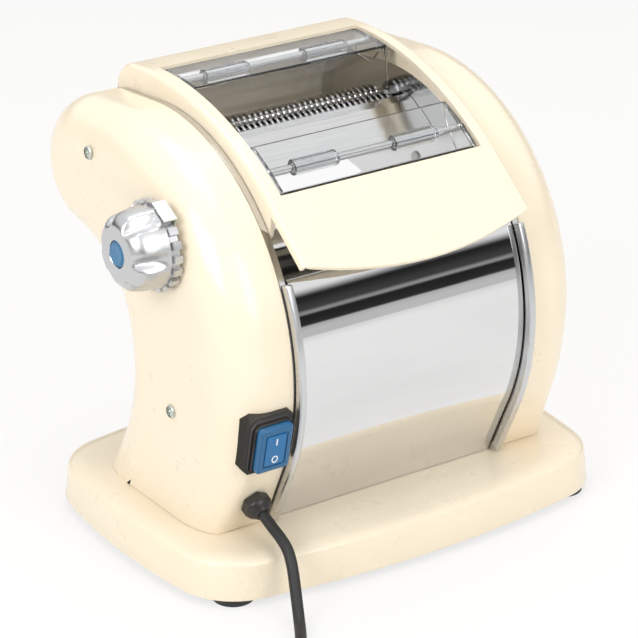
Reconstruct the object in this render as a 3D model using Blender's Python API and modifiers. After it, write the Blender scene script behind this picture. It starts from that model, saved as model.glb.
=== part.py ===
"""Electric pasta maker: a cream housing over a pair of smooth rollers and a pair of narrow cutters.

World frame: +X to the right along the rollers, +Y to the rear, +Z up, metres. The machine is drawn
about the centre of its base, on the ground. One empty carries it and sets the origin under the
middle of its overall box, the stored mains cord left out.
"""

import math

import bmesh
import bpy
from mathutils import Euler, Matrix, Vector

# Clearances and cuts
FIT_GAP = 0.0003
CUT_OVERRUN = 0.004
WELD = 0.00001
SMOOTH_ANGLE = math.radians(35.0)

# Base moulding
BASE_LENGTH = 0.300
BASE_DEPTH = 0.2156
BASE_CORNER_RADIUS = 0.040
BASE_FRONT_BOW = 0.0094
BASE_SIDE_BOW = 0.0043
BASE_BOTTOM = 0.005
BASE_EDGE_HEIGHT = 0.0253
BASE_TOP = 0.030
BASE_DRAFT = 0.0022
BASE_SHOULDER = 0.014
BASE_WALL = 0.0030
BASE_PLATE_THICKNESS = 0.0015
SIDE_SHARES = (0.0, 0.5, 1.0)
SHOULDER_SHARES = ((0.0, 0.0), (0.12, 0.45), (0.45, 0.85), (1.0, 1.0))
CORNER_POINTS = 6

# Rubber feet
FOOT_RADIUS = 0.0125
FOOT_ACROSS = 0.2412
FOOT_ALONG = 0.1588
FOOT_EDGE = 0.0010

# Side outline of the body: foot line, front arc, bulge arc, neck
BODY_RADIUS = 0.1310
BODY_CENTRE_Y = 0.0420
BODY_CENTRE_Z = 0.1250
FOOT_LEAN = math.radians(25.07)
BULGE_RADIUS = 0.0415
BULGE_PROUD = 0.0073
BULGE_DIRECTION = math.radians(62.65)
BULGE_END = math.radians(-81.5)
NECK_Y = 0.0360
NECK_Z = 0.1070
NECK_UPPER_HANDLE = 0.0350
NECK_MIDDLE_HANDLE = 0.0400
NECK_LOWER_HANDLE = 0.0300
NECK_FOOT_Y = 0.0590
NECK_FOOT_LEAN = math.radians(24.6)
FRONT_ARC_POINTS = 14
BULGE_ARC_POINTS = 10
NECK_POINTS = 5

# Side frames, panel and trims
PANEL_WIDTH = 0.1576
FRAME_INNER = 0.0803
FRAME_THICKNESS = 0.0037
FRAME_INSET = 0.0006
PANEL_THICKNESS = 0.0009
PANEL_TOP = 0.1840
PANEL_ROLL_RADIUS = 0.0026
TRIM_WIDTH = 0.0047
TRIM_PROUD = 0.0055
TRIM_BOTTOM_RISE = 0.0010
PANEL_ROLL_TURN = math.radians(200.0)
PANEL_POINTS = 11
ROLL_POINTS = 7

# Housings
HOUSING_OUTER = 0.1260
HOUSING_WALL = 0.0030
FILLET_ACROSS = 0.0260
FILLET_ACROSS_AT_FOOT = 0.0120
FILLET_DEPTH = 0.0300
FILLET_RISE = 0.0700
HOUSING_SCREW_RADIUS = 0.0040
HOUSING_SCREW_HEAD = 0.0012
HOUSING_SCREW_UPPER_Y = 0.0606
HOUSING_SCREW_UPPER_Z = 0.2302
HOUSING_SCREW_LOWER_Y = -0.0245
HOUSING_SCREW_LOWER_Z = 0.0981
RIGHT_SCREW_Y = 0.0880
RIGHT_SCREW_Z = 0.2220
SHANK_SHARE = 0.5
BOSS_RADIUS = 0.0060
BOSS_SHORT = 0.0020
SCREW_GRIP = 0.0120
FILLET_STEPS = 4

# Hood
HOOD_SHEET = 0.0025
HOOD_HALF_WIDTH = 0.0796
HOOD_REAR_Y = 0.1075
HOOD_TOP_Z = 0.2680
HOOD_RADIUS = 0.2050
HOOD_CENTRE_Y = 0.0655
HOOD_CORNER_RADIUS = 0.0190
HOOD_LAP = 0.0060
HOOD_NOSE_Y = -0.0680
HOOD_NOSE_Z = 0.2125
HOOD_WALL_APRON = 0.0120
HOOD_WALL_INSET = 0.0004
HOOD_POINTS = 13
LIP_STEPS = 5
OPENING_WIDTH = 0.1404
OPENING_FRONT_Y = -0.0553
OPENING_REAR_Y = 0.0720
APRON_LENGTH = 0.0600
APRON_SIDE_LENGTH = 0.0455
APRON_SLOPE = math.radians(38.0)
HOOD_WALL_FRONT_Z = 0.2090

# Rollers, cutters and the gear train that places them
ROLLER_RADIUS = 0.0125
ROLLER_LENGTH = 0.1560
ROLLER_SPACE = 0.0024
ROLLER_TRAVEL = 0.0020
ROLLER_Y = -0.0140
ROLLER_Z = 0.1970
SHAFT_RADIUS = 0.0042
CUTTER_RADIUS = 0.0095
CUTTER_GROOVE_RADIUS = 0.0062
CUTTER_SPACING = 0.0160
CUTTER_PITCH = 0.0040
CUTTER_DISC = 0.0017
CUTTER_LENGTH = 0.1480
GEAR_MODULE = 0.0015
GEAR_WIDTH = 0.0070
DRIVE_TEETH = 20
MAIN_TEETH = 40
PINION_TEETH = 10
IDLER_TEETH = 32
CUTTER_TEETH = 16
MESH_GEAR_TEETH = 10
ROLLER_GEAR_TEETH = 12
TOOTH_FLANK = math.radians(20.0)
ADDENDUM_SHARE = 0.80
DEDENDUM_SHARE = 1.20
TOOTH_SHARE = 0.36
MAIN_ANGLE = math.radians(-58.6)
PINION_ANGLE = math.radians(-74.5)
IDLER_ANGLE = math.radians(41.6)
CUTTER_ANGLE = math.radians(55.1)
GEAR_LAYER_SPACE = 0.0015
GEAR_SIDE_SPACE = 0.0012
HUB_RADIUS = 0.0054
HUB_PROUD = 0.0004
PIN_RADIUS = 0.0040
PIN_HEAD = 0.0015
PIN_HEAD_RADIUS = 0.0060
ROLLER_GEAR_ROOT = (0.0088, math.radians(9.7))
ROLLER_GEAR_TIP = (0.0153, math.radians(2.3))
BUSH_PROUD = 0.0010
SHAFT_HOLE_SPACE = 0.0010
BLOCK_SIZE = 0.0160
BLOCK_BORE_DEPTH = 0.0032
ROLLER_STEPS = 24
HOLE_STEPS = 12
CUTTER_STEPS = 6

# Knob and index bracket
KNOB_Y = -0.0160
KNOB_Z = 0.1995
KNOB_RIM_RADIUS = 0.0270
KNOB_RIM_WIDTH = 0.0050
KNOB_STAND_OFF = 0.0015
KNOB_LENGTH = 0.0217
KNOB_FACE_RADIUS = 0.0165
KNOB_SHOULDER_RADIUS = 0.0245
KNOB_SCALLOP_DEPTH = 0.0045
KNOB_SCALLOPS = 6
KNOB_RING_POINTS = 36
KNOB_BOSS_RADIUS = 0.0197
KNOB_SHARES = ((0.0, 1.0, 0.6), (0.35, 0.96, 1.0), (0.75, 0.75, 1.0), (0.94, 0.3, 0.6), (1.0, 0.0, 0.2))
POCKET_DEPTH = 0.0165
POCKET_RADIUS = 0.0072
HEAD_DEPTH = 0.0055
HEAD_RADIUS = 0.0068
HEAD_THICKNESS = 0.0015
KNOB_CAP_RADIUS = 0.0078
KNOB_CAP_PROUD = 0.0012
KNOB_SHAFT_RADIUS = 0.0050
KNOB_PULL = 0.0050
SPRING_WIRE = 0.0004
SPRING_RADIUS = 0.0061
SPRING_TURNS = 3
SPRING_TURN_POINTS = 12
CAM_RADIUS = 0.0070
CAM_OFFSET = 0.0010
CAM_WIDTH = 0.0034
CAM_SPACE = 0.0005
SHAFT_END = 0.0020
ARM_SHEET = 0.0015
ARM_REACH = 0.0080
LUG_THICKNESS = 0.0030
NOTCH_COUNT = 20
NOTCH_DEPTH = 0.0028
NOTCH_SHARE = 0.5
BRACKET_WIDTH = 0.0150
BRACKET_REACH = 0.0085
BRACKET_FLANGE = 0.0075
BRACKET_CLEARANCE = 0.0008
BRACKET_TURN = math.radians(28)

# Power switch, gland and cord
SWITCH_X = -0.1010
SWITCH_Z = 0.0970
BEZEL_WIDTH = 0.0310
BEZEL_HEIGHT = 0.0390
BEZEL_DEPTH = 0.0050
BEZEL_CHAMFER = 0.0040
ROCKER_WIDTH = 0.0220
ROCKER_HEIGHT = 0.0300
ROCKER_PROUD = 0.0095
ROCKER_WALL_GAP = 0.0012
ROCKER_SIDE_GAP = 0.0005
ROCKER_AXIS_DEPTH = 0.0010
ROCKER_SHARES = ((-1, -0.6), (-1, 0.5), (-0.75, 0.9), (0, 1), (0.75, 0.75), (1, 0.35), (1, -0.6))
BEZEL_SEAT = 0.0090
SWITCH_BODY_WIDTH = 0.0270
SWITCH_BODY_HEIGHT = 0.0350
SWITCH_BODY_DEPTH = 0.0150
GLAND_X = -0.0990
GLAND_Z = 0.0514
GLAND_NUT_RADIUS = 0.0090
GLAND_NUT_LENGTH = 0.0060
GLAND_NOSE_RADIUS = 0.0056
GLAND_NOSE_LENGTH = 0.0050
GLAND_THREAD_RADIUS = 0.0062
GLAND_THREAD_LENGTH = 0.0080
GLAND_STEP = 0.0005
CORD_SEAT = 0.0040
CORD_RADIUS = 0.00335
CORD_GAP = 0.0003
COIL_TURN_GAP = 0.0005
COIL_TURNS = 6
COIL_CLIMB_TURNS = 0.5
COIL_MIDDLE_RADIUS = 0.0395
COIL_START_X = -0.1724
COIL_START_Y = -0.2228
COIL_Z = 0.0050
COIL_TAIL_POINTS = 4
COIL_HEADING = math.radians(235.5)
COIL_LOOP_POINTS = 24
COIL_TAIL = 0.0350
PLUG_LENGTH = 0.0600
PLUG_WIDTH = 0.0370
PLUG_HEIGHT = 0.0210
PLUG_SHARES = (
    (0.0, 0.3, 0.5),
    (0.33, 0.34, 0.58),
    (0.42, 0.76, 0.85),
    (0.55, 0.97, 1.0),
    (0.95, 1.0, 1.0),
    (1.0, 0.9, 0.85),
)
PLUG_RING_POINTS = 16
PLUG_SQUARENESS = 0.7
PLUG_PIN_RADIUS = 0.0024
PLUG_PIN_LENGTH = 0.0190
PLUG_PIN_SPACING = 0.0190
TIE_WIDTH = 0.0060
TIE_THICKNESS = 0.0012
TIE_SLACK = 0.0005
CORD_ROUTE = (
    (-0.0990, -0.0880, 0.0425),
    (-0.0993, -0.0970, 0.0395),
    (-0.1000, -0.1050, 0.0355),
    (-0.1015, -0.1115, 0.0290),
    (-0.1035, -0.1170, 0.0210),
    (-0.1060, -0.1230, 0.0125),
    (-0.1100, -0.1310, 0.0062),
    (-0.1145, -0.1390, 0.0037),
    (-0.1200, -0.1475, 0.0034),
    (-0.1330, -0.1660, 0.0034),
    (-0.1465, -0.1855, 0.0036),
    (-0.1595, -0.2043, 0.0044),
)

# Gear motor
MOTOR_RADIUS = 0.0300
MOTOR_LENGTH = 0.0900
GEAR_CASE_DEPTH = 0.0250
GEAR_CASE_SIZE = 0.0680
CASE_CHAMFER = 0.0080
MOTOR_SPACE = 0.0016
MOTOR_BOSS = 0.0040
MOTOR_BOSS_RADIUS = 0.0090
OUTPUT_DEPTH = 0.0100

# Clear guards
GUARD_HALF_WIDTH = 0.0685
GUARD_SHEET = 0.0022
GUARD_DROP = 0.0012
GUARD_PIN_DEPTH = 0.0058
GUARD_PIN_RADIUS = 0.0020
KNUCKLE_RADIUS = 0.0048
LUG_WIDTH = 0.0300
LUG_CENTRE = 0.0350
FRONT_GUARD_FRONT_Y = -0.0530
FRONT_GUARD_REAR_Y = -0.0220
FRONT_GUARD_PIN_Y = -0.0360
REAR_GUARD_FRONT_Y = 0.0380
REAR_GUARD_REAR_Y = 0.0700
REAR_GUARD_PIN_Y = 0.0560
REAR_GUARD_SKIRT = 0.0260
GUARD_SKIRT_LEAN = 0.0030
GUARD_END_DROP = 0.0130
GUARD_END_INSET = 0.0040
GUARD_WALL_INSET = 0.0005
GUARD_POINTS = 5

# Tie rods and covers
ROD_RADIUS = 0.0040
ROD_PLACES = ((-0.0560, 0.0600), (0.0300, 0.0600), (0.1040, 0.2050))
NUT_RADIUS = 0.0070
NUT_HEIGHT = 0.0050
SHEET = 0.0010
COVER_INSET = 0.0030
COVER_START = 0.0008
CHUTE_LINE = ((-0.0080, 0.1820), (-0.0660, 0.1808))
CUTTER_COVER_LINE = ((0.0020, 0.2140), (0.0120, 0.2220), (0.0260, 0.2310), (0.0315, 0.2330))

X_AXIS_UPRIGHT = Euler((math.pi / 2, 0, math.pi / 2))
ROUND_STEPS = 20


def start():
    """An empty scene with one collection for the parts and one for the cutters."""
    for old in list(bpy.data.objects):
        bpy.data.objects.remove(old, do_unlink=True)
    for name in ("pasta_maker", "cutters"):
        made = bpy.data.collections.new(name)
        bpy.context.scene.collection.children.link(made)


def material(name, colour, roughness, metallic=0.0, alpha=1.0):
    made = bpy.data.materials.new(name)
    made.use_nodes = True
    shader = made.node_tree.nodes["Principled BSDF"]
    shader.inputs["Base Color"].default_value = (*colour, 1.0)
    shader.inputs["Roughness"].default_value = roughness
    shader.inputs["Metallic"].default_value = metallic
    shader.inputs["Alpha"].default_value = alpha
    return made


FINISH_VALUES = {
    "cream_paint": ((0.90, 0.80, 0.62), 0.28, 0.0, 1.0),
    "chrome": ((0.82, 0.82, 0.83), 0.06, 1.0, 1.0),
    "polished_steel": ((0.72, 0.72, 0.72), 0.16, 1.0, 1.0),
    "aluminium": ((0.66, 0.67, 0.68), 0.32, 1.0, 1.0),
    "zinc": ((0.66, 0.68, 0.64), 0.38, 1.0, 1.0),
    "satin_silver": ((0.62, 0.63, 0.65), 0.34, 0.9, 1.0),
    "bronze": ((0.60, 0.42, 0.20), 0.35, 1.0, 1.0),
    "dark_steel": ((0.22, 0.22, 0.23), 0.45, 1.0, 1.0),
    "blue_plastic": ((0.03, 0.16, 0.36), 0.35, 0.0, 1.0),
    "black_plastic": ((0.015, 0.015, 0.016), 0.42, 0.0, 1.0),
    "black_rubber": ((0.02, 0.02, 0.02), 0.70, 0.0, 1.0),
    "clear_plastic": ((0.88, 0.90, 0.92), 0.05, 0.0, 0.35),
    "white_nylon": ((0.80, 0.79, 0.74), 0.45, 0.0, 1.0),
}
FINISHES = {}


def finish(name):
    if name not in FINISHES:
        FINISHES[name] = material(name, *FINISH_VALUES[name])
    return FINISHES[name]


def adopt(obj, look=None, parent=None):
    """A part goes in the machine's collection with its finish; without one it is a cutter."""
    bpy.data.collections["pasta_maker" if look else "cutters"].objects.link(obj)
    obj.parent = parent or bpy.data.objects["machine_origin"]
    if look:
        obj.data.materials.append(finish(look))
    else:
        obj.hide_render = True
        obj.display_type = "WIRE"
    return obj


def from_form(name, form, look=None, origin=(0, 0, 0)):
    bmesh.ops.recalc_face_normals(form, faces=form.faces)
    mesh = bpy.data.meshes.new(name)
    form.to_mesh(mesh)
    form.free()
    mesh.shade_smooth()
    mesh.set_sharp_from_angle(angle=SMOOTH_ANGLE)
    obj = bpy.data.objects.new(name, mesh)
    obj.location = origin
    return adopt(obj, look)


def box(name, low, high, look=None, origin=(0, 0, 0)):
    """A box between two corners, which are given about the origin."""
    low = Vector(low)
    high = Vector(high)
    form = bmesh.new()
    place = Matrix.Translation((low + high) / 2) @ Matrix.Diagonal((*(high - low), 1))
    bmesh.ops.create_cube(form, size=1, matrix=place)
    return from_form(name, form, look, origin)


def plate(name, outlines, x_low, x_high, look=None, centre=(0.0, 0.0)):
    """A flat piece square to X: the first outline in (y, z) is its edge, the others are holes."""
    curve = bpy.data.curves.new(name, "CURVE")
    curve.dimensions = "2D"
    curve.fill_mode = "BOTH"
    curve.extrude = (x_high - x_low) / 2
    for outline in outlines:
        spline = curve.splines.new("POLY")
        spline.points.add(len(outline) - 1)
        spline.use_cyclic_u = True
        for point, (y, z) in zip(spline.points, outline):
            point.co = (y - centre[0], z - centre[1], 0, 1)
    obj = bpy.data.objects.new(name, curve)
    obj.location = ((x_low + x_high) / 2, *centre)
    obj.rotation_euler = X_AXIS_UPRIGHT
    return adopt(obj, look)


def as_mesh(obj):
    """The object's evaluated shape as a welded mesh object of the same name and place."""
    bpy.context.view_layer.update()
    mesh = bpy.data.meshes.new_from_object(obj.evaluated_get(bpy.context.evaluated_depsgraph_get()))
    form = bmesh.new()
    form.from_mesh(mesh)
    bmesh.ops.remove_doubles(form, verts=form.verts, dist=WELD)
    bmesh.ops.recalc_face_normals(form, faces=form.faces)
    form.to_mesh(mesh)
    form.free()
    name = obj.name
    made = bpy.data.objects.new(name, mesh)
    made.location = obj.location
    made.rotation_euler = obj.rotation_euler
    look = None if obj.hide_render else mesh.materials[0].name
    mesh.materials.clear()
    bpy.data.objects.remove(obj, do_unlink=True)
    made.name = name
    return adopt(made, look)


def boolean(obj, other, operation="DIFFERENCE"):
    modifier = obj.modifiers.new(other.name, "BOOLEAN")
    modifier.operation = operation
    modifier.solver = "EXACT"
    modifier.object = other
    return obj


def turned(name, profile, origin, look=None, ring=False, axis=X_AXIS_UPRIGHT, steps=ROUND_STEPS):
    """A turned piece: the profile's (radius, height) points run down its outer side; a ring's close."""
    count = len(profile)
    edges = [(i, (i + 1) % count) for i in range(count if ring else count - 1)]
    mesh = bpy.data.meshes.new(name)
    mesh.from_pydata([(radius, 0, height) for radius, height in profile], edges, [])
    obj = bpy.data.objects.new(name, mesh)
    obj.location = origin
    obj.rotation_euler = axis
    screw = obj.modifiers.new("turn", "SCREW")
    screw.steps = steps
    screw.render_steps = steps
    screw.use_merge_vertices = True
    screw.merge_threshold = WELD
    return adopt(obj, look)


def rod(name, radius, x_low, x_high, y, z, look=None, steps=ROUND_STEPS):
    profile = [(0, x_high), (radius, x_high), (radius, x_low), (0, x_low)]
    return turned(name, profile, (0, y, z), look, steps=steps)


def sleeve(name, inner, outer, x_low, x_high, y, z, look, steps=ROUND_STEPS):
    profile = [(outer, x_high), (outer, x_low), (inner, x_low), (inner, x_high)]
    return turned(name, profile, (0, y, z), look, ring=True, steps=steps)


def loft(name, rings, look=None, origin=(0, 0, 0)):
    """A closed body through rings of as many points each, capped at both ends."""
    form = bmesh.new()
    shift = Vector(origin)
    rows = [[form.verts.new(Vector(point) - shift) for point in ring] for ring in rings]
    for low, high in zip(rows, rows[1:]):
        for i, corner in enumerate(low):
            j = (i + 1) % len(low)
            form.faces.new((corner, low[j], high[j], high[i]))
    form.faces.new(rows[0])
    form.faces.new(rows[-1])
    return from_form(name, form, look, origin)


def tube(name, points, radius, look, resolution):
    curve = bpy.data.curves.new(name, "CURVE")
    curve.dimensions = "3D"
    curve.bevel_depth = radius
    curve.bevel_resolution = resolution
    curve.use_fill_caps = True
    spline = curve.splines.new("POLY")
    spline.points.add(len(points) - 1)
    for target, point in zip(spline.points, points):
        target.co = (*point, 1)
    return adopt(bpy.data.objects.new(name, curve), look)


def circle(y, z, radius, count=ROUND_STEPS):
    turn = 2 * math.pi / count
    return [(y + radius * math.cos(turn * i), z + radius * math.sin(turn * i)) for i in range(count)]


def polar(centre, radius, angle):
    return centre[0] + radius * math.cos(angle), centre[1] + radius * math.sin(angle)


def arc(centre, radius, first, last, count):
    """Points on an arc, both ends taken in."""
    step = (last - first) / (count - 1)
    return [polar(centre, radius, first + step * i) for i in range(count)]


def offset_line(line, distance):
    """The open line moved sideways, to the left of its run, each corner mitred."""
    runs = [(Vector(b) - Vector(a)).normalized() for a, b in zip(line, line[1:])]
    sides = [Vector((-run.y, run.x)) for run in runs]
    moved = []
    for i, point in enumerate(line):
        before = sides[max(i - 1, 0)]
        after = sides[min(i, len(sides) - 1)]
        middle = (before + after).normalized()
        moved.append(tuple(Vector(point) + middle * (distance / middle.dot(before))))
    return moved


def bent_sheet(name, line, thickness, half_width, look=None, centre=(0.0, 0.0)):
    """A sheet bent along the line, its thickness to the left of the line's run."""
    edge = line + offset_line(line, thickness)[::-1]
    return plate(name, [edge], -half_width, half_width, look, centre)


def bezier(first, first_handle, last_handle, last, count):
    """Points inside and at the end of one cubic stretch, its first point left out."""
    points = []
    for i in range(1, count + 1):
        t = i / count
        weights = ((1 - t) ** 3, 3 * t * (1 - t) ** 2, 3 * t * t * (1 - t), t**3)
        controls = (first, first_handle, last_handle, last)
        points.append(tuple(sum(w * p[k] for w, p in zip(weights, controls)) for k in (0, 1)))
    return points


# The body's side outline, front foot to rear foot over the top


def bulge_centre():
    reach = BODY_RADIUS - BULGE_RADIUS + BULGE_PROUD
    return polar((BODY_CENTRE_Y, BODY_CENTRE_Z), reach, BULGE_DIRECTION)


def top_angle():
    """The direction of the straight stretch's normal, where both arcs meet it."""
    reach = BODY_RADIUS - BULGE_RADIUS + BULGE_PROUD
    return BULGE_DIRECTION + math.acos((BODY_RADIUS - BULGE_RADIUS) / reach)


def front_y(z, depth=0.0):
    """The outline's y on the front side at a height, the outline moved in by a depth."""
    radius = BODY_RADIUS - depth
    bend_z = BODY_CENTRE_Z - radius * math.sin(FOOT_LEAN)
    if z >= bend_z:
        return BODY_CENTRE_Y - math.sqrt(radius**2 - (z - BODY_CENTRE_Z) ** 2)
    return BODY_CENTRE_Y - radius * math.cos(FOOT_LEAN) + (bend_z - z) * math.tan(FOOT_LEAN)


def body_line():
    centre = (BODY_CENTRE_Y, BODY_CENTRE_Z)
    foot = BASE_TOP + FIT_GAP
    line = [(front_y(foot), foot)]
    line += arc(centre, BODY_RADIUS, math.pi + FOOT_LEAN, top_angle(), FRONT_ARC_POINTS)
    line += arc(bulge_centre(), BULGE_RADIUS, top_angle(), BULGE_END, BULGE_ARC_POINTS)
    start_point = Vector(line[-1])
    forward = Vector((math.sin(BULGE_END), -math.cos(BULGE_END)))
    neck = (NECK_Y, NECK_Z)
    upper = start_point + forward * NECK_UPPER_HANDLE
    line += bezier(line[-1], upper, (NECK_Y, NECK_Z + NECK_MIDDLE_HANDLE), neck, NECK_POINTS)
    lean = Vector((-math.sin(NECK_FOOT_LEAN), math.cos(NECK_FOOT_LEAN)))
    heel = Vector((NECK_FOOT_Y, foot))
    lower = heel + lean * NECK_LOWER_HANDLE
    line += bezier(neck, (NECK_Y, NECK_Z - NECK_LOWER_HANDLE), lower, heel, NECK_POINTS)
    return line


BODY_LINE = body_line()
FOOT_Z = BASE_TOP + FIT_GAP
FRAME_OUTER = FRAME_INNER + FRAME_THICKNESS
HOUSING_INNER = FRAME_OUTER + FIT_GAP
COVER_HALF = FRAME_INNER - FIT_GAP
HOOD_CENTRE = (HOOD_CENTRE_Y, HOOD_TOP_Z - HOOD_RADIUS)


def inset_body_line(inset, lift=0.0):
    """The outline moved in, its two foot points kept level."""
    line = offset_line(BODY_LINE, -inset)
    line[0] = (BODY_LINE[0][0] + inset, FOOT_Z + lift)
    line[-1] = (BODY_LINE[-1][0] - inset, FOOT_Z + lift)
    return line


def level_plate(name, outlines, z_low, z_high, look=None):
    """A flat piece square to Z, its outlines in (x, y)."""
    obj = plate(name, outlines, z_low, z_high, look)
    obj.location = (0, 0, (z_low + z_high) / 2)
    obj.rotation_euler = (0, 0, 0)
    return obj


def wall_plate(name, outlines, y_low, y_high, look=None):
    """A flat piece square to Y, its outlines in (x, z)."""
    obj = plate(name, outlines, y_low, y_high, look)
    obj.location = (0, (y_low + y_high) / 2, 0)
    obj.rotation_euler = (math.pi / 2, 0, 0)
    return obj


# Base


def base_ring(inset, z):
    """The bowed rounded rectangle of the base at one height, moved in by the inset."""
    radius = BASE_CORNER_RADIUS - inset
    across = BASE_LENGTH / 2 - BASE_SIDE_BOW - BASE_CORNER_RADIUS
    along = BASE_DEPTH / 2 - BASE_FRONT_BOW - BASE_CORNER_RADIUS
    quarter = []
    for share in SIDE_SHARES:
        normal = Vector((2 * BASE_FRONT_BOW * share / across, 1)).normalized()
        inner = Vector((across * share, along + BASE_FRONT_BOW * (1 - share**2)))
        quarter.append(inner + normal * radius)
    first = math.atan2(normal.y, normal.x)
    last = math.atan2(2 * BASE_SIDE_BOW / along, 1)
    quarter += [Vector(p) for p in arc((across, along), radius, first, last, CORNER_POINTS)[1:-1]]
    for share in reversed(SIDE_SHARES):
        normal = Vector((1, 2 * BASE_SIDE_BOW * share / along)).normalized()
        inner = Vector((across + BASE_SIDE_BOW * (1 - share**2), along * share))
        quarter.append(inner + normal * radius)
    back = quarter[::-1]
    ring = [(p.x, p.y, z) for p in quarter]
    ring += [(p.x, -p.y, z) for p in back[1:]]
    ring += [(-p.x, -p.y, z) for p in quarter[1:]]
    ring += [(-p.x, p.y, z) for p in back[1:-1]]
    return ring


def base_profile(wall):
    """(inset, z) pairs up the side and over the shoulder, the surface moved in by a wall."""
    rise = BASE_TOP - BASE_EDGE_HEIGHT
    pairs = [(wall, BASE_BOTTOM)]
    for inset_share, rise_share in SHOULDER_SHARES:
        inset = BASE_DRAFT + (BASE_SHOULDER - BASE_DRAFT) * inset_share
        pairs.append((inset + wall, BASE_EDGE_HEIGHT + rise * rise_share - wall))
    return pairs


def make_base():
    inner = [base_ring(*pair) for pair in reversed(base_profile(BASE_WALL))]
    outer = [base_ring(*pair) for pair in base_profile(0)]
    loft("base_shell", inner + outer, "cream_paint")
    rim = [point[:2] for point in base_ring(BASE_WALL + FIT_GAP, 0)]
    level_plate("base_plate", [rim], BASE_BOTTOM, BASE_BOTTOM + BASE_PLATE_THICKNESS, "dark_steel")
    top = BASE_BOTTOM - FIT_GAP
    profile = [(0, top), (FOOT_RADIUS, top), (FOOT_RADIUS, FOOT_EDGE), (FOOT_RADIUS - FOOT_EDGE, 0), (0, 0)]
    for x, across in ((-FOOT_ACROSS / 2, "left"), (FOOT_ACROSS / 2, "right")):
        for y, along in ((-FOOT_ALONG / 2, "front"), (FOOT_ALONG / 2, "rear")):
            turned(f"{across}_{along}_foot", profile, (x, y, 0), "black_rubber", axis=Euler())


# Housings and what they stand on


def housing_ring(turn, wall, side, at_rim=False):
    """One ring of a housing: turn runs from the rim side of the soft edge, 90 degrees, to its face, 0."""
    inset = wall + FILLET_DEPTH * (1 - math.sin(turn))
    ring = []
    for (y, z), (_, drawn_z) in zip(inset_body_line(inset, wall), BODY_LINE):
        share = min(1, (drawn_z - FOOT_Z) / FILLET_RISE)
        across = FILLET_ACROSS_AT_FOOT + (FILLET_ACROSS - FILLET_ACROSS_AT_FOOT) * share
        x = HOUSING_INNER if at_rim else HOUSING_OUTER - wall - across * (1 - math.cos(turn))
        ring.append((side * x, y, z))
    return ring


def make_housing(name, side, screws, cuts):
    """A cupped shell with a boss and a screw at each named place, and any other cuts."""
    turns = [math.pi / 2 * (1 - i / FILLET_STEPS) for i in range(FILLET_STEPS + 1)]
    inner = [housing_ring(turn, HOUSING_WALL, side) for turn in reversed(turns)]
    inner.append(housing_ring(math.pi / 2, HOUSING_WALL, side, at_rim=True))
    outer = [housing_ring(math.pi / 2, 0, side, at_rim=True)]
    outer += [housing_ring(turn, 0, side) for turn in turns]
    shell = loft(name, inner + outer, "cream_paint")
    shank = HOUSING_SCREW_RADIUS * SHANK_SHARE
    for along, (y, z) in screws:
        low, high = sorted((side * HOUSING_INNER, side * (HOUSING_OUTER - BOSS_SHORT)))
        boolean(shell, as_mesh(rod(f"{name}_boss_{along}", BOSS_RADIUS, low, high, y, z, steps=16)), "UNION")
        end = HOUSING_OUTER - HOUSING_WALL - SCREW_GRIP
        low, high = sorted((side * (end - FIT_GAP), side * (HOUSING_OUTER + CUT_OVERRUN)))
        boolean(shell, rod(f"{name}_hole_{along}", shank + FIT_GAP, low, high, y, z, steps=12))
        head = HOUSING_OUTER + FIT_GAP
        profile = [(0, head + HOUSING_SCREW_HEAD), (HOUSING_SCREW_RADIUS, head + HOUSING_SCREW_HEAD)]
        profile += [(HOUSING_SCREW_RADIUS, head), (shank, head), (shank, end), (0, end)]
        if side < 0:
            profile = [(radius, -x) for radius, x in reversed(profile)]
        turned(f"{name}_{along}_screw", profile, (0, y, z), "zinc", steps=12)
    for other in cuts:
        boolean(shell, other)
    return shell


def front_line(z_low, z_high, depth, count):
    step = (z_high - z_low) / (count - 1)
    return [(front_y(z_low + step * i, depth), z_low + step * i) for i in range(count)]


def make_panel():
    line = front_line(FOOT_Z, PANEL_TOP, FIT_GAP, PANEL_POINTS)
    run = (Vector(line[-1]) - Vector(line[-2])).normalized()
    centre = Vector(line[-1]) + Vector((run.y, -run.x)) * PANEL_ROLL_RADIUS
    turn = math.atan2(run.x, -run.y)
    line += arc(centre, PANEL_ROLL_RADIUS, turn, turn - PANEL_ROLL_TURN, ROLL_POINTS)[1:]
    bent_sheet("front_panel", line, -PANEL_THICKNESS, PANEL_WIDTH / 2, "chrome")
    low = BASE_TOP + TRIM_PROUD * math.sin(FOOT_LEAN) + TRIM_BOTTOM_RISE
    inner = front_line(low, PANEL_TOP, -FIT_GAP, PANEL_POINTS)
    edge = inner + offset_line(inner, TRIM_PROUD)[::-1]
    plate("left_trim", [edge], -FRAME_OUTER, -FRAME_OUTER + TRIM_WIDTH, "aluminium")
    plate("right_trim", [edge], FRAME_OUTER - TRIM_WIDTH, FRAME_OUTER, "aluminium")


# Hood


def hood_point(y, depth=0.0):
    radius = HOOD_RADIUS - depth
    return y, HOOD_CENTRE[1] + math.sqrt(radius**2 - (y - HOOD_CENTRE[0]) ** 2)


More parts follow.
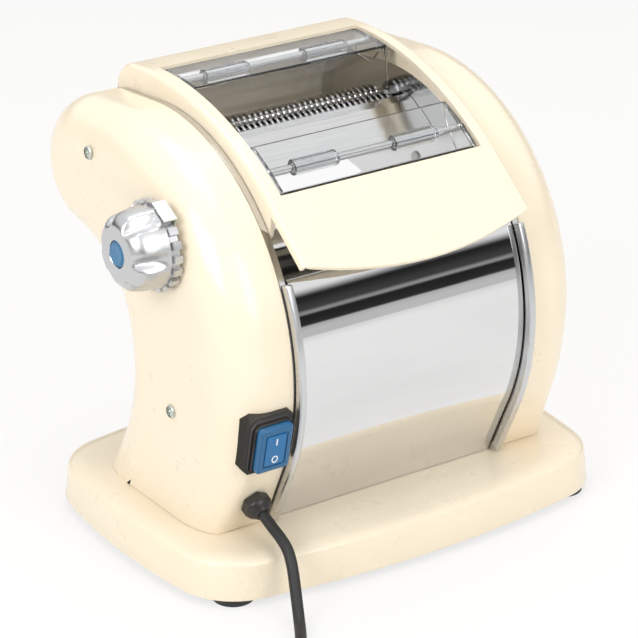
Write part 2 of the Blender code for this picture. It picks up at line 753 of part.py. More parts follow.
def hood_line():
    """The hood's outer line from the front lip to its rear edge."""
    kink = hood_point(OPENING_FRONT_Y)
    lip = (kink[0] - APRON_LENGTH * math.cos(APRON_SLOPE), kink[1] - APRON_LENGTH * math.sin(APRON_SLOPE))
    reach = HOOD_RADIUS - HOOD_CORNER_RADIUS
    corner_y = HOOD_REAR_Y - HOOD_CORNER_RADIUS
    corner_turn = math.acos((corner_y - HOOD_CENTRE[0]) / reach)
    corner = polar(HOOD_CENTRE, reach, corner_turn)
    first = math.atan2(kink[1] - HOOD_CENTRE[1], kink[0] - HOOD_CENTRE[0])
    line = [lip, *arc(HOOD_CENTRE, HOOD_RADIUS, first, corner_turn, HOOD_POINTS)]
    line += arc(corner, HOOD_CORNER_RADIUS, corner_turn, 0, CORNER_POINTS)[1:]
    bulge = bulge_centre()
    seat = bulge[1] + math.sqrt(BULGE_RADIUS**2 - (HOOD_REAR_Y - bulge[0]) ** 2)
    line.append((HOOD_REAR_Y, seat + FIT_GAP))
    return line


def make_hood():
    line = hood_line()
    hood = as_mesh(bent_sheet("hood", line, -HOOD_SHEET, HOOD_HALF_WIDTH, "cream_paint"))
    middle = offset_line(line, -HOOD_SHEET / 2)
    top = middle[1:]
    lap = [p for p in inset_body_line(HOOD_LAP) if p[1] > HOOD_WALL_FRONT_Z]
    lap = [p for p in lap if p[0] < HOOD_REAR_Y]
    apron = Vector(middle[1]).lerp(Vector(middle[0]), HOOD_WALL_APRON / APRON_LENGTH)
    nose = [(front_y(HOOD_WALL_FRONT_Z, -FIT_GAP), HOOD_WALL_FRONT_Z)]
    nose += [(HOOD_NOSE_Y, HOOD_NOSE_Z), tuple(apron)]
    edge = top + lap[::-1] + nose
    for side in (-1, 1):
        outer = HOOD_HALF_WIDTH - HOOD_WALL_INSET
        low, high = sorted((side * (outer - HOOD_SHEET), side * outer))
        boolean(hood, as_mesh(plate(f"hood_wall_{high:.2f}", [edge], low, high)), "UNION")
    low = (-OPENING_WIDTH / 2, OPENING_FRONT_Y, HOOD_WALL_FRONT_Z)
    high = (OPENING_WIDTH / 2, OPENING_REAR_Y, HOOD_TOP_Z + CUT_OVERRUN)
    boolean(hood, box("hood_opening", low, high))
    drop = APRON_LENGTH - APRON_SIDE_LENGTH
    half = HOOD_HALF_WIDTH + CUT_OVERRUN
    shares = [i / LIP_STEPS - 1 for i in range(2 * LIP_STEPS + 1)]
    lip = [(half * share, APRON_LENGTH - drop * share**2) for share in shares]
    lip += [(half, APRON_LENGTH + CUT_OVERRUN), (-half, APRON_LENGTH + CUT_OVERRUN)]
    cutter = level_plate("hood_lip", [lip], -HOOD_SHEET - CUT_OVERRUN, HOOD_SHEET + CUT_OVERRUN)
    cutter.location = (0, *line[1])
    cutter.rotation_euler = (math.pi + APRON_SLOPE, 0, 0)
    boolean(hood, as_mesh(cutter))
    return hood


def row_of_teeth(count, centre, roots, tips, phase=0.0):
    """A toothed outline in (y, z): roots and tips are each a radius and a tooth's half angle there."""
    points = []
    for i in range(count):
        turn = phase + 2 * math.pi * i / count
        points.append(polar(centre, roots[0], turn - roots[1]))
        points.append(polar(centre, tips[0], turn - tips[1]))
        points.append(polar(centre, tips[0], turn + tips[1]))
        points.append(polar(centre, roots[0], turn + roots[1]))
    return points


def tooth_sizes(teeth, module):
    """The root and the tip of a gear, each a radius and a tooth's half angle there."""
    thick = TOOTH_SHARE * math.pi * module / 2
    slope = math.tan(TOOTH_FLANK)
    root = module * (teeth / 2 - DEDENDUM_SHARE)
    tip = module * (teeth / 2 + ADDENDUM_SHARE)
    at_root = (root, (thick + module * DEDENDUM_SHARE * slope) / root)
    at_tip = (tip, (thick - module * ADDENDUM_SHARE * slope) / tip)
    return at_root, at_tip


def meshed(phase, teeth, direction, other_teeth):
    """The phase of the gear that meshes, in a direction, with one of a known phase."""
    share = (direction - phase) * teeth / (2 * math.pi) % 1
    return direction + math.pi - (0.5 - share) * 2 * math.pi / other_teeth


# Rollers, cutters, shafts and gears

LAYER_ONE = FRAME_OUTER + GEAR_SIDE_SPACE + FIT_GAP
LAYER_TWO = LAYER_ONE + GEAR_WIDTH + GEAR_LAYER_SPACE
GEARS_END = LAYER_TWO + GEAR_WIDTH
FIXED_AXIS = (ROLLER_Y - 2 * ROLLER_RADIUS - ROLLER_SPACE, ROLLER_Z)
MOVED_AXIS = (ROLLER_Y, ROLLER_Z)
MAIN_AXIS = polar(FIXED_AXIS, GEAR_MODULE * (DRIVE_TEETH + MAIN_TEETH) / 2, MAIN_ANGLE)
PINION_AXIS = polar(MAIN_AXIS, GEAR_MODULE * (MAIN_TEETH + PINION_TEETH) / 2, PINION_ANGLE)
IDLER_AXIS = polar(MAIN_AXIS, GEAR_MODULE * (MAIN_TEETH + IDLER_TEETH) / 2, IDLER_ANGLE)
FRONT_CUTTER_AXIS = polar(IDLER_AXIS, GEAR_MODULE * (IDLER_TEETH + CUTTER_TEETH) / 2, CUTTER_ANGLE)
REAR_CUTTER_AXIS = (FRONT_CUTTER_AXIS[0] + CUTTER_SPACING, FRONT_CUTTER_AXIS[1])
KNOB_AXIS = (KNOB_Y, KNOB_Z)


def gear(name, axis, bore, wheels, look):
    """One gear, or several on a shared hub: each wheel is its first x and its toothed outline."""
    low = min(x for x, _ in wheels) - HUB_PROUD
    high = max(x for x, _ in wheels) + GEAR_WIDTH + HUB_PROUD
    hole = circle(*axis, (bore + HUB_RADIUS) / 2, HOLE_STEPS)
    x, outline = wheels[0]
    made = as_mesh(plate(name, [outline, hole], x, x + GEAR_WIDTH, look, axis))
    hub = sleeve(f"{name}_hub", bore, HUB_RADIUS, low, high, *axis, None, HOLE_STEPS)
    boolean(made, as_mesh(hub), "UNION")
    for x, outline in wheels[1:]:
        boolean(made, as_mesh(plate(f"{name}_second", [outline, hole], x, x + GEAR_WIDTH)), "UNION")
    return made


def make_rollers():
    shaft_low = -FRAME_OUTER + FIT_GAP
    half = ROLLER_LENGTH / 2
    block_low = -FRAME_INNER - BLOCK_BORE_DEPTH
    rollers = (
        ("fixed_roller", FIXED_AXIS, shaft_low, GEARS_END),
        ("adjustable_roller", MOVED_AXIS, block_low, LAYER_TWO),
    )
    for name, axis, low, high in rollers:
        end = high - FIT_GAP
        profile = [(0, end), (SHAFT_RADIUS, end), (SHAFT_RADIUS, half), (ROLLER_RADIUS, half)]
        profile += [(ROLLER_RADIUS, -half), (SHAFT_RADIUS, -half), (SHAFT_RADIUS, low), (0, low)]
        turned(name, profile, (0, *axis), "polished_steel", steps=ROLLER_STEPS)
    count = round(CUTTER_LENGTH / CUTTER_PITCH)
    cutters = (
        ("front_cutter", FRONT_CUTTER_AXIS, 0, GEARS_END),
        ("rear_cutter", REAR_CUTTER_AXIS, CUTTER_PITCH / 2, LAYER_TWO),
    )
    for name, axis, shift, high in cutters:
        end = high - FIT_GAP
        stop = CUTTER_LENGTH / 2 + CUTTER_PITCH / 2
        profile = [(0, end), (SHAFT_RADIUS, end), (SHAFT_RADIUS, stop), (CUTTER_GROOVE_RADIUS, stop)]
        for i in reversed(range(count)):
            first = -CUTTER_LENGTH / 2 + CUTTER_PITCH * i + shift
            last = first + CUTTER_DISC
            profile += [(CUTTER_GROOVE_RADIUS, last), (CUTTER_RADIUS, last)]
            profile += [(CUTTER_RADIUS, first), (CUTTER_GROOVE_RADIUS, first)]
        profile += [(CUTTER_GROOVE_RADIUS, -stop), (SHAFT_RADIUS, -stop)]
        profile += [(SHAFT_RADIUS, shaft_low), (0, shaft_low)]
        turned(name, profile, (0, *axis), "polished_steel", steps=CUTTER_STEPS)


def roller_wheel(axis, phase):
    return row_of_teeth(ROLLER_GEAR_TEETH, axis, ROLLER_GEAR_ROOT, ROLLER_GEAR_TIP, phase)


def make_gears():
    bore = SHAFT_RADIUS + FIT_GAP
    drive = row_of_teeth(DRIVE_TEETH, FIXED_AXIS, *tooth_sizes(DRIVE_TEETH, GEAR_MODULE))
    wheels = [(LAYER_ONE, roller_wheel(FIXED_AXIS, 0)), (LAYER_TWO, drive)]
    gear("drive_gear", FIXED_AXIS, bore, wheels, "dark_steel")
    phase = meshed(0, ROLLER_GEAR_TEETH, 0, ROLLER_GEAR_TEETH)
    wheels = [(LAYER_ONE, roller_wheel(MOVED_AXIS, phase))]
    gear("adjustable_roller_gear", MOVED_AXIS, bore, wheels, "dark_steel")
    main_phase = meshed(0, DRIVE_TEETH, MAIN_ANGLE, MAIN_TEETH)
    outline = row_of_teeth(MAIN_TEETH, MAIN_AXIS, *tooth_sizes(MAIN_TEETH, GEAR_MODULE), main_phase)
    gear("main_gear", MAIN_AXIS, PIN_RADIUS + FIT_GAP, [(LAYER_TWO, outline)], "white_nylon")
    phase = meshed(main_phase, MAIN_TEETH, PINION_ANGLE, PINION_TEETH)
    make_pinion(phase)
    idler_phase = meshed(main_phase, MAIN_TEETH, IDLER_ANGLE, IDLER_TEETH)
    outline = row_of_teeth(IDLER_TEETH, IDLER_AXIS, *tooth_sizes(IDLER_TEETH, GEAR_MODULE), idler_phase)
    gear("idler_gear", IDLER_AXIS, PIN_RADIUS + FIT_GAP, [(LAYER_TWO, outline)], "white_nylon")
    phase = meshed(idler_phase, IDLER_TEETH, CUTTER_ANGLE, CUTTER_TEETH)
    outline = row_of_teeth(CUTTER_TEETH, FRONT_CUTTER_AXIS, *tooth_sizes(CUTTER_TEETH, GEAR_MODULE), phase)
    module = CUTTER_SPACING / MESH_GEAR_TEETH
    pair = row_of_teeth(MESH_GEAR_TEETH, FRONT_CUTTER_AXIS, *tooth_sizes(MESH_GEAR_TEETH, module))
    wheels = [(LAYER_ONE, pair), (LAYER_TWO, outline)]
    gear("front_cutter_gear", FRONT_CUTTER_AXIS, bore, wheels, "dark_steel")
    phase = meshed(0, MESH_GEAR_TEETH, 0, MESH_GEAR_TEETH)
    outline = row_of_teeth(MESH_GEAR_TEETH, REAR_CUTTER_AXIS, *tooth_sizes(MESH_GEAR_TEETH, module), phase)
    gear("rear_cutter_gear", REAR_CUTTER_AXIS, bore, [(LAYER_ONE, outline)], "dark_steel")
    inner = FRAME_INNER - BUSH_PROUD
    for name, axis in (("main_gear_pin", MAIN_AXIS), ("idler_gear_pin", IDLER_AXIS)):
        seat = LAYER_TWO - HUB_PROUD - FIT_GAP
        top = GEARS_END + HUB_PROUD + FIT_GAP
        outer = FRAME_OUTER + FIT_GAP
        profile = [(0, top + PIN_HEAD), (PIN_HEAD_RADIUS, top + PIN_HEAD), (PIN_HEAD_RADIUS, top)]
        profile += [(PIN_RADIUS, top), (PIN_RADIUS, seat), (PIN_HEAD_RADIUS, seat)]
        profile += [(PIN_HEAD_RADIUS, outer), (PIN_RADIUS, outer), (PIN_RADIUS, inner), (0, inner)]
        turned(name, profile, (0, *axis), "zinc", steps=16)


CASE_HIGH = FRAME_INNER - MOTOR_SPACE


def make_pinion(phase):
    """The motor's output shaft with its pinion cut on the end."""
    outline = row_of_teeth(PINION_TEETH, PINION_AXIS, *tooth_sizes(PINION_TEETH, GEAR_MODULE), phase)
    pinion = as_mesh(plate("pinion_shaft", [outline], LAYER_TWO, GEARS_END, "polished_steel", PINION_AXIS))
    shaft = rod("pinion_stem", PIN_RADIUS, CASE_HIGH - OUTPUT_DEPTH, GEARS_END - HUB_PROUD, *PINION_AXIS)
    return boolean(pinion, as_mesh(shaft), "UNION")


def make_motor():
    case_low = CASE_HIGH - GEAR_CASE_DEPTH
    half = GEAR_CASE_SIZE / 2
    cut = half - CASE_CHAMFER
    corners = [(half, cut), (cut, half), (-cut, half), (-half, cut)]
    corners += [(-y, -z) for y, z in corners]
    edge = [(PINION_AXIS[0] + y, PINION_AXIS[1] + z) for y, z in corners]
    case = as_mesh(plate("gear_case", [edge], case_low, CASE_HIGH, "dark_steel"))
    bore = PIN_RADIUS + FIT_GAP
    depth = CASE_HIGH - OUTPUT_DEPTH - FIT_GAP
    boolean(case, rod("case_bore", bore, depth, CASE_HIGH + CUT_OVERRUN, *PINION_AXIS))
    high = case_low - FIT_GAP
    profile = [(0, high), (MOTOR_RADIUS, high), (MOTOR_RADIUS, high - MOTOR_LENGTH)]
    low = high - MOTOR_LENGTH - MOTOR_BOSS
    profile += [(MOTOR_BOSS_RADIUS, high - MOTOR_LENGTH), (MOTOR_BOSS_RADIUS, low), (0, low)]
    turned("motor_can", profile, (0, *PINION_AXIS), "zinc", steps=32)


def make_frames():
    edge = inset_body_line(FRAME_INSET)
    shafts = (FIXED_AXIS, FRONT_CUTTER_AXIS, REAR_CUTTER_AXIS)
    for name, side in (("left_side_frame", -1), ("right_side_frame", 1)):
        low, high = sorted((side * FRAME_INNER, side * FRAME_OUTER))
        holes = [circle(*axis, SHAFT_RADIUS + FIT_GAP, HOLE_STEPS) for axis in shafts]
        holes += [circle(y, z, ROD_RADIUS + FIT_GAP, HOLE_STEPS) for y, z in ROD_PLACES]
        y_low = ROLLER_Y - BLOCK_SIZE / 2 - ROLLER_TRAVEL - FIT_GAP
        y_high = ROLLER_Y + BLOCK_SIZE / 2 + FIT_GAP
        z_low = ROLLER_Z - BLOCK_SIZE / 2 - FIT_GAP
        z_high = ROLLER_Z + BLOCK_SIZE / 2 + FIT_GAP
        holes.append([(y_low, z_low), (y_high, z_low), (y_high, z_high), (y_low, z_high)])
        if side > 0:
            holes += [circle(*axis, PIN_RADIUS + FIT_GAP, HOLE_STEPS) for axis in (MAIN_AXIS, IDLER_AXIS)]
            holes.append(circle(*PINION_AXIS, PIN_RADIUS + SHAFT_HOLE_SPACE, HOLE_STEPS))
        plate(name, [edge, *holes], low, high, "polished_steel")


def make_rods():
    head = FRAME_OUTER + FIT_GAP
    end = head + NUT_HEIGHT
    half = [(0, end), (NUT_RADIUS, end), (NUT_RADIUS, head), (ROD_RADIUS, head)]
    profile = half + [(radius, -x) for radius, x in reversed(half)]
    for name, (y, z) in zip(("front_tie_rod", "rear_tie_rod", "upper_tie_rod"), ROD_PLACES):
        turned(name, profile, (0, y, z), "zinc", steps=16)


# Thickness adjuster


def make_blocks():
    half = BLOCK_SIZE / 2
    inner = FRAME_INNER - BUSH_PROUD
    bore = SHAFT_RADIUS + FIT_GAP
    y_low = ROLLER_Y - half
    y_high = ROLLER_Y + half
    outer = FRAME_OUTER + FIT_GAP
    outline = [(inner, y_low), (outer, y_low), (outer, y_high), (inner, y_high)]
    block = level_plate("right_bearing_block", [outline], ROLLER_Z - half, ROLLER_Z + half, "bronze")
    block = as_mesh(block)
    low = inner - CUT_OVERRUN
    high = FRAME_OUTER + CUT_OVERRUN
    boolean(block, rod("right_block_bore", bore, low, high, *MOVED_AXIS, steps=HOLE_STEPS))
    arm = FRAME_OUTER + 2 * FIT_GAP
    arm_out = arm + ARM_SHEET
    lug_high = KNOB_Y + CAM_OFFSET - CAM_RADIUS - FIT_GAP
    lug_low = lug_high - LUG_THICKNESS
    cam_end = arm_out + CAM_SPACE + CAM_WIDTH
    outline = [(-inner, y_high), (-arm, y_high), (-arm, KNOB_Y + ARM_REACH), (-arm_out, KNOB_Y + ARM_REACH)]
    outline += [(-arm_out, lug_high), (-cam_end, lug_high), (-cam_end, lug_low), (-arm, lug_low)]
    outline += [(-arm, y_low), (-inner, y_low)]
    block = level_plate("left_bearing_block", [outline], ROLLER_Z - half, ROLLER_Z + half, "bronze")
    block = as_mesh(block)
    deep = -FRAME_INNER - BLOCK_BORE_DEPTH - FIT_GAP
    boolean(block, rod("left_block_bore", bore, deep, -inner + CUT_OVERRUN, *MOVED_AXIS, steps=HOLE_STEPS))
    return cam_end


def knob_ring(x, radius, scallop):
    ring = []
    for i in range(KNOB_RING_POINTS):
        turn = 2 * math.pi * i / KNOB_RING_POINTS
        reach = radius - scallop * max(0, math.cos(KNOB_SCALLOPS * turn)) ** 2
        ring.append((x, *polar(KNOB_AXIS, reach, turn)))
    return ring


def make_knob(cam_end):
    ring_low = -HOUSING_OUTER - KNOB_STAND_OFF - KNOB_RIM_WIDTH
    ring_high = -HOUSING_OUTER - KNOB_STAND_OFF
    face = ring_low - FIT_GAP - KNOB_LENGTH
    pitch = math.pi / NOTCH_COUNT
    roots = (KNOB_RIM_RADIUS - NOTCH_DEPTH, pitch * (1 - NOTCH_SHARE / 2))
    tips = (KNOB_RIM_RADIUS, pitch * (1 - NOTCH_SHARE))
    notches = row_of_teeth(NOTCH_COUNT, KNOB_AXIS, roots, tips)
    outlines = [notches, circle(*KNOB_AXIS, KNOB_BOSS_RADIUS + FIT_GAP)]
    plate("knob_index_ring", outlines, ring_low, ring_high, "satin_silver", KNOB_AXIS)
    back = ring_low - FIT_GAP
    rings = [knob_ring(x, KNOB_BOSS_RADIUS, 0) for x in (ring_high - FIT_GAP, back)]
    for length_share, radius_share, scallop_share in KNOB_SHARES:
        radius = KNOB_FACE_RADIUS + (KNOB_SHOULDER_RADIUS - KNOB_FACE_RADIUS) * radius_share
        x = back - KNOB_LENGTH * length_share
        rings.append(knob_ring(x, radius, KNOB_SCALLOP_DEPTH * scallop_share))
    body = loft("knob_body", rings, "satin_silver", (0, *KNOB_AXIS))
    pocket = face + POCKET_DEPTH
    bore = KNOB_SHAFT_RADIUS + FIT_GAP
    profile = [(0, ring_high + CUT_OVERRUN), (bore, ring_high + CUT_OVERRUN), (bore, pocket)]
    profile += [(POCKET_RADIUS, pocket), (POCKET_RADIUS, face - CUT_OVERRUN), (0, face - CUT_OVERRUN)]
    boolean(body, turned("knob_bore", profile, (0, *KNOB_AXIS)))
    high = face - FIT_GAP
    low = high - KNOB_CAP_PROUD
    profile = [(0, high), (KNOB_CAP_RADIUS, high), (KNOB_CAP_RADIUS, low), (0, low)]
    turned("knob_cap", profile, (0, *KNOB_AXIS), "blue_plastic")
    head = face + HEAD_DEPTH
    inner = -cam_end + SHAFT_END
    profile = [(0, inner), (KNOB_SHAFT_RADIUS, inner), (KNOB_SHAFT_RADIUS, head)]
    profile += [(HEAD_RADIUS, head), (HEAD_RADIUS, head - HEAD_THICKNESS), (0, head - HEAD_THICKNESS)]
    shaft = as_mesh(turned("knob_shaft", profile, (0, *KNOB_AXIS), "zinc"))
    cam_high = -cam_end + CAM_WIDTH
    boolean(shaft, as_mesh(rod("cam", CAM_RADIUS, -cam_end, cam_high, KNOB_Y + CAM_OFFSET, KNOB_Z)), "UNION")
    low = head + SPRING_WIRE + FIT_GAP
    high = pocket - KNOB_PULL - SPRING_WIRE - FIT_GAP
    count = SPRING_TURNS * SPRING_TURN_POINTS
    coil = []
    for i in range(count + 1):
        y, z = polar(KNOB_AXIS, SPRING_RADIUS, 2 * math.pi * i / SPRING_TURN_POINTS)
        coil.append((low + (high - low) * i / count, y - KNOB_Y, z - KNOB_Z))
    spring = tube("knob_spring", coil, SPRING_WIRE, "polished_steel", 0)
    spring.location = (0, *KNOB_AXIS)
    print("knob spring least gap", round((high - low) / SPRING_TURNS - 2 * SPRING_WIRE, 6))
    make_bracket()


def make_bracket():
    """The bent sheet that reaches from behind the index ring over its notches."""
    sheet = KNOB_STAND_OFF - 2 * FIT_GAP
    low = KNOB_RIM_RADIUS + BRACKET_CLEARANCE
    high = low + sheet
    near = -HOUSING_OUTER - FIT_GAP
    outline = [(near, high), (near - BRACKET_REACH, high), (near - BRACKET_REACH, low)]
    outline += [(near - sheet, low), (near - sheet, low - BRACKET_FLANGE), (near, low - BRACKET_FLANGE)]
    bracket = wall_plate("index_bracket", [outline], -BRACKET_WIDTH / 2, BRACKET_WIDTH / 2, "zinc")
    bracket.location = (0, *KNOB_AXIS)
    bracket.rotation_euler.x += BRACKET_TURN


# Power switch, gland and cord


def front_tilt(z):
    """How far the outward normal points below level on the front of the outline."""
    return min(FOOT_LEAN, math.asin((BODY_CENTRE_Z - z) / BODY_RADIUS))


def front_point(z, up, out):
    """The (y, z) point a way up along and out from the front surface at a height."""
    tilt = front_tilt(z)
    y = front_y(z) - out * math.cos(tilt) - up * math.sin(tilt)
    return y, z - out * math.sin(tilt) + up * math.cos(tilt)


def on_front(name, outlines, x, z, low, high, look=None):
    """A flat piece parallel to the front surface at a height, between two distances out from it."""
    obj = plate(name, outlines, low, high, look)
    obj.location = (x, *front_point(z, 0, (low + high) / 2))
    obj.rotation_euler = (math.pi / 2 + front_tilt(z), 0, 0)
    return obj


def rectangle(width, height, chamfer=0.0):
    across = width / 2
    up = height / 2
    if not chamfer:
        return [(across, up), (-across, up), (-across, -up), (across, -up)]
    corners = [(across, up - chamfer), (across - chamfer, up)]
    corners += [(-x, y) for x, y in reversed(corners)]
    return corners + [(-x, -y) for x, y in corners]


def make_switch():
    outer = rectangle(BEZEL_WIDTH, BEZEL_HEIGHT, BEZEL_CHAMFER)
    window = rectangle(ROCKER_WIDTH + 2 * ROCKER_SIDE_GAP, ROCKER_HEIGHT + 2 * ROCKER_WALL_GAP)
    on_front("switch_bezel", [outer, window], SWITCH_X, SWITCH_Z, -BEZEL_SEAT, BEZEL_DEPTH, "black_plastic")
    axis = front_point(SWITCH_Z, 0, -ROCKER_AXIS_DEPTH)
    edge = [
        front_point(SWITCH_Z, ROCKER_HEIGHT / 2 * up_share, ROCKER_PROUD * out_share)
        for up_share, out_share in ROCKER_SHARES
    ]
    low = SWITCH_X - ROCKER_WIDTH / 2
    plate("switch_rocker", [edge], low, low + ROCKER_WIDTH, "blue_plastic", axis)
    body_high = -BEZEL_SEAT - FIT_GAP
    body_low = body_high - SWITCH_BODY_DEPTH
    outline = rectangle(SWITCH_BODY_WIDTH, SWITCH_BODY_HEIGHT)
    on_front("switch_body", [outline], SWITCH_X, SWITCH_Z, body_low, body_high, "black_plastic")
    outline = rectangle(BEZEL_WIDTH + 2 * FIT_GAP, BEZEL_HEIGHT + 2 * FIT_GAP, BEZEL_CHAMFER)
    deep = BEZEL_SEAT + CUT_OVERRUN
    return as_mesh(on_front("switch_cut", [outline], SWITCH_X, SWITCH_Z, -deep, BEZEL_DEPTH + CUT_OVERRUN))


def make_gland():
    axis = Euler((math.pi / 2 + front_tilt(GLAND_Z), 0, 0))
    place = (GLAND_X, *front_point(GLAND_Z, 0, 0))
    bore = CORD_RADIUS + CORD_GAP
    collar = FIT_GAP + GLAND_NUT_LENGTH - GLAND_STEP
    nose = FIT_GAP + GLAND_NUT_LENGTH + GLAND_NOSE_LENGTH
    profile = [(GLAND_NOSE_RADIUS, nose), (GLAND_NOSE_RADIUS, collar), (GLAND_THREAD_RADIUS, collar)]
    profile += [(GLAND_THREAD_RADIUS, -GLAND_THREAD_LENGTH), (bore, -GLAND_THREAD_LENGTH), (bore, nose)]
    gland = as_mesh(turned("cord_gland", profile, place, "black_plastic", ring=True, axis=axis))
    outlines = [circle(0, 0, GLAND_NUT_RADIUS, 6), circle(0, 0, (bore + GLAND_NOSE_RADIUS) / 2)]
    nut = on_front("gland_nut", outlines, GLAND_X, GLAND_Z, FIT_GAP, FIT_GAP + GLAND_NUT_LENGTH)
    boolean(gland, as_mesh(nut), "UNION")
    hole = GLAND_THREAD_RADIUS + FIT_GAP
    deep = GLAND_THREAD_LENGTH + CUT_OVERRUN
    profile = [(0, CUT_OVERRUN), (hole, CUT_OVERRUN), (hole, -deep), (0, -deep)]
    return turned("gland_hole", profile, place, axis=axis)


def smooth_route(points):
    """The hand-chosen points with one more between each two, on a Catmull-Rom curve."""
    points = [Vector(point) for point in points]
    ends = [2 * points[0] - points[1], *points, 2 * points[-1] - points[-2]]
    route = []
    for before, first, last, after in zip(ends, ends[1:], ends[2:], ends[3:]):
        route += [first, (9 * (first + last) - before - after) / 16]
    return [*route, points[-1]]


def coil_points():
    """The stored part of the cord: one flat spiral in, a climb, the same spiral out above it."""
    pitch = 2 * CORD_RADIUS + COIL_TURN_GAP
    outer = COIL_MIDDLE_RADIUS + pitch * COIL_TURNS / 4
    first = COIL_HEADING - math.pi / 2
    centre = Vector((COIL_START_X, COIL_START_Y)) - Vector(polar((0, 0), outer, first))
    points = []
    for i in range(COIL_TURNS * COIL_LOOP_POINTS + 1):
        turn = i / COIL_LOOP_POINTS
        radius = outer - pitch * min(turn, COIL_TURNS - turn)
        share = min(1, max(0, (turn - COIL_TURNS / 2) / COIL_CLIMB_TURNS + 0.5))
        x, y = polar(centre, radius, first + 2 * math.pi * turn)
        points.append(Vector((x, y, COIL_Z + pitch * share * share * (3 - 2 * share))))
    heading = Vector((math.cos(COIL_HEADING), math.sin(COIL_HEADING), 0))
    lead = points[0] - heading * 2 * CORD_RADIUS
    tail = [points[-1] + heading * COIL_TAIL * (i + 1) / COIL_TAIL_POINTS for i in range(COIL_TAIL_POINTS)]
    return [lead, *points, *tail], centre, outer


def least_gap(points, radius):
    """The least gap between stretches of a tube more than a quarter turn apart."""
    away = COIL_LOOP_POINTS // 4
    gaps = [(a - b).length for i, a in enumerate(points) for b in points[i + away:]]
    return min(gaps) - 2 * radius


def make_cord():
    coil, centre, outer = coil_points()
    start_point = Vector((GLAND_X, *front_point(GLAND_Z, 0, -CORD_SEAT)))
    second = Vector((GLAND_X, *front_point(GLAND_Z, 0, FIT_GAP + GLAND_NUT_LENGTH + GLAND_NOSE_LENGTH)))
    heading = Vector((math.cos(COIL_HEADING), math.sin(COIL_HEADING), 0))
    route = [start_point, second, *[Vector(point) for point in CORD_ROUTE]]
    stretch = smooth_route(route) + [coil[0] - heading * 2 * FIT_GAP]
    tube("cord_stretch", stretch, CORD_RADIUS, "black_rubber", 2)
    tube("cord_coil", coil, CORD_RADIUS, "black_rubber", 1)
    print("cord coil least gap", round(least_gap(coil, CORD_RADIUS), 6))
    length = sum((b - a).length for line in (stretch, coil) for a, b in zip(line, line[1:]))
    print("cord length", round(length, 4))
    pitch = 2 * CORD_RADIUS + COIL_TURN_GAP
    low = outer - pitch * COIL_TURNS / 2 - CORD_RADIUS - TIE_SLACK
    high = outer + CORD_RADIUS + TIE_SLACK
    bottom = COIL_Z - CORD_RADIUS - FIT_GAP
    top = COIL_Z + pitch + CORD_RADIUS + FIT_GAP
    loops = []
    for grow in (TIE_THICKNESS, 0):
        sides = (low - grow, high + grow)
        loops.append([(sides[0], bottom - grow), (sides[1], bottom - grow), (sides[1], top + grow)])
        loops[-1].append((sides[0], top + grow))
    tie = plate("cord_tie", loops, -TIE_WIDTH / 2, TIE_WIDTH / 2, "black_plastic")
    tie.location = (*centre, 0)
    tie.rotation_euler = (math.pi / 2, 0, COIL_HEADING + math.pi / 2)
    end = coil[-1] + heading * FIT_GAP
    rings = []
    side = Vector((-heading.y, heading.x, 0))
    up = Vector((0, 0, 1))
    for length_share, width_share, height_share in PLUG_SHARES:
        middle = end + heading * PLUG_LENGTH * length_share
        across = side * (PLUG_WIDTH / 2 * width_share)
        rise = up * (PLUG_HEIGHT / 2 * height_share)
        turns = [2 * math.pi * (i + 0.5) / PLUG_RING_POINTS for i in range(PLUG_RING_POINTS)]
        shares = [(squared(math.cos(turn)), squared(math.sin(turn))) for turn in turns]
        rings.append([middle + across * x_share + rise * z_share for x_share, z_share in shares])
    plug = loft("plug_body", rings, "black_rubber")
    axis = Euler((math.pi / 2, 0, COIL_HEADING + math.pi / 2))
    for number, share in enumerate((-0.5, 0.5)):
        place = end + heading * PLUG_LENGTH + side * PLUG_PIN_SPACING * share
        profile = [(0, PLUG_PIN_LENGTH), (PLUG_PIN_RADIUS, PLUG_PIN_LENGTH)]
        profile += [(PLUG_PIN_RADIUS, -PLUG_PIN_RADIUS), (0, -PLUG_PIN_RADIUS)]
        boolean(plug, as_mesh(turned(f"plug_pin_{number}", profile, place, axis=axis, steps=12)), "UNION")


def squared(value):
    """Bends a circle's share of its width towards a rounded rectangle's."""
    return math.copysign(abs(value) ** PLUG_SQUARENESS, value)


# Guards over the opening


def guard(name, front, rear, pin_y, skirt):
    count = GUARD_POINTS
    line = [hood_point(front + (rear - front) * i / (count - 1), GUARD_DROP) for i in range(count)]
    pin = hood_point(pin_y, GUARD_PIN_DEPTH)
    if skirt:
        line.insert(0, (line[0][0] - GUARD_SKIRT_LEAN, line[0][1] - REAR_GUARD_SKIRT))
    cover = as_mesh(bent_sheet(name, line, -GUARD_SHEET, GUARD_HALF_WIDTH, "clear_plastic", pin))
    top = [p for p in offset_line(line, -GUARD_SHEET / 2) if p[0] > front]
    lower = [(rear - GUARD_END_INSET, top[-1][1] - GUARD_END_DROP)]
    lower.append((pin_y - GUARD_END_INSET, top[0][1] - GUARD_END_DROP))
    bore = GUARD_PIN_RADIUS + FIT_GAP
    hole = circle(*pin, bore, HOLE_STEPS)
    outer = GUARD_HALF_WIDTH - GUARD_WALL_INSET
    for side in (-1, 1):
        low, high = sorted((side * (outer - GUARD_SHEET), side * outer))
        wall = as_mesh(plate(f"{name}_wall_{high:.2f}", [top + lower, hole], low, high))
        boolean(cover, wall, "UNION")
        low = side * LUG_CENTRE - LUG_WIDTH / 2
        high = side * LUG_CENTRE + LUG_WIDTH / 2
        lug = sleeve(f"{name}_lug_{high:.2f}", bore, KNUCKLE_RADIUS, low, high, *pin, None, HOLE_STEPS)
        boolean(cover, as_mesh(lug), "UNION")
    end = HOOD_HALF_WIDTH - HOOD_WALL_INSET - HOOD_SHEET - FIT_GAP
    rod(f"{name}_pin", GUARD_PIN_RADIUS, -end, end, *pin, "polished_steel", steps=16)


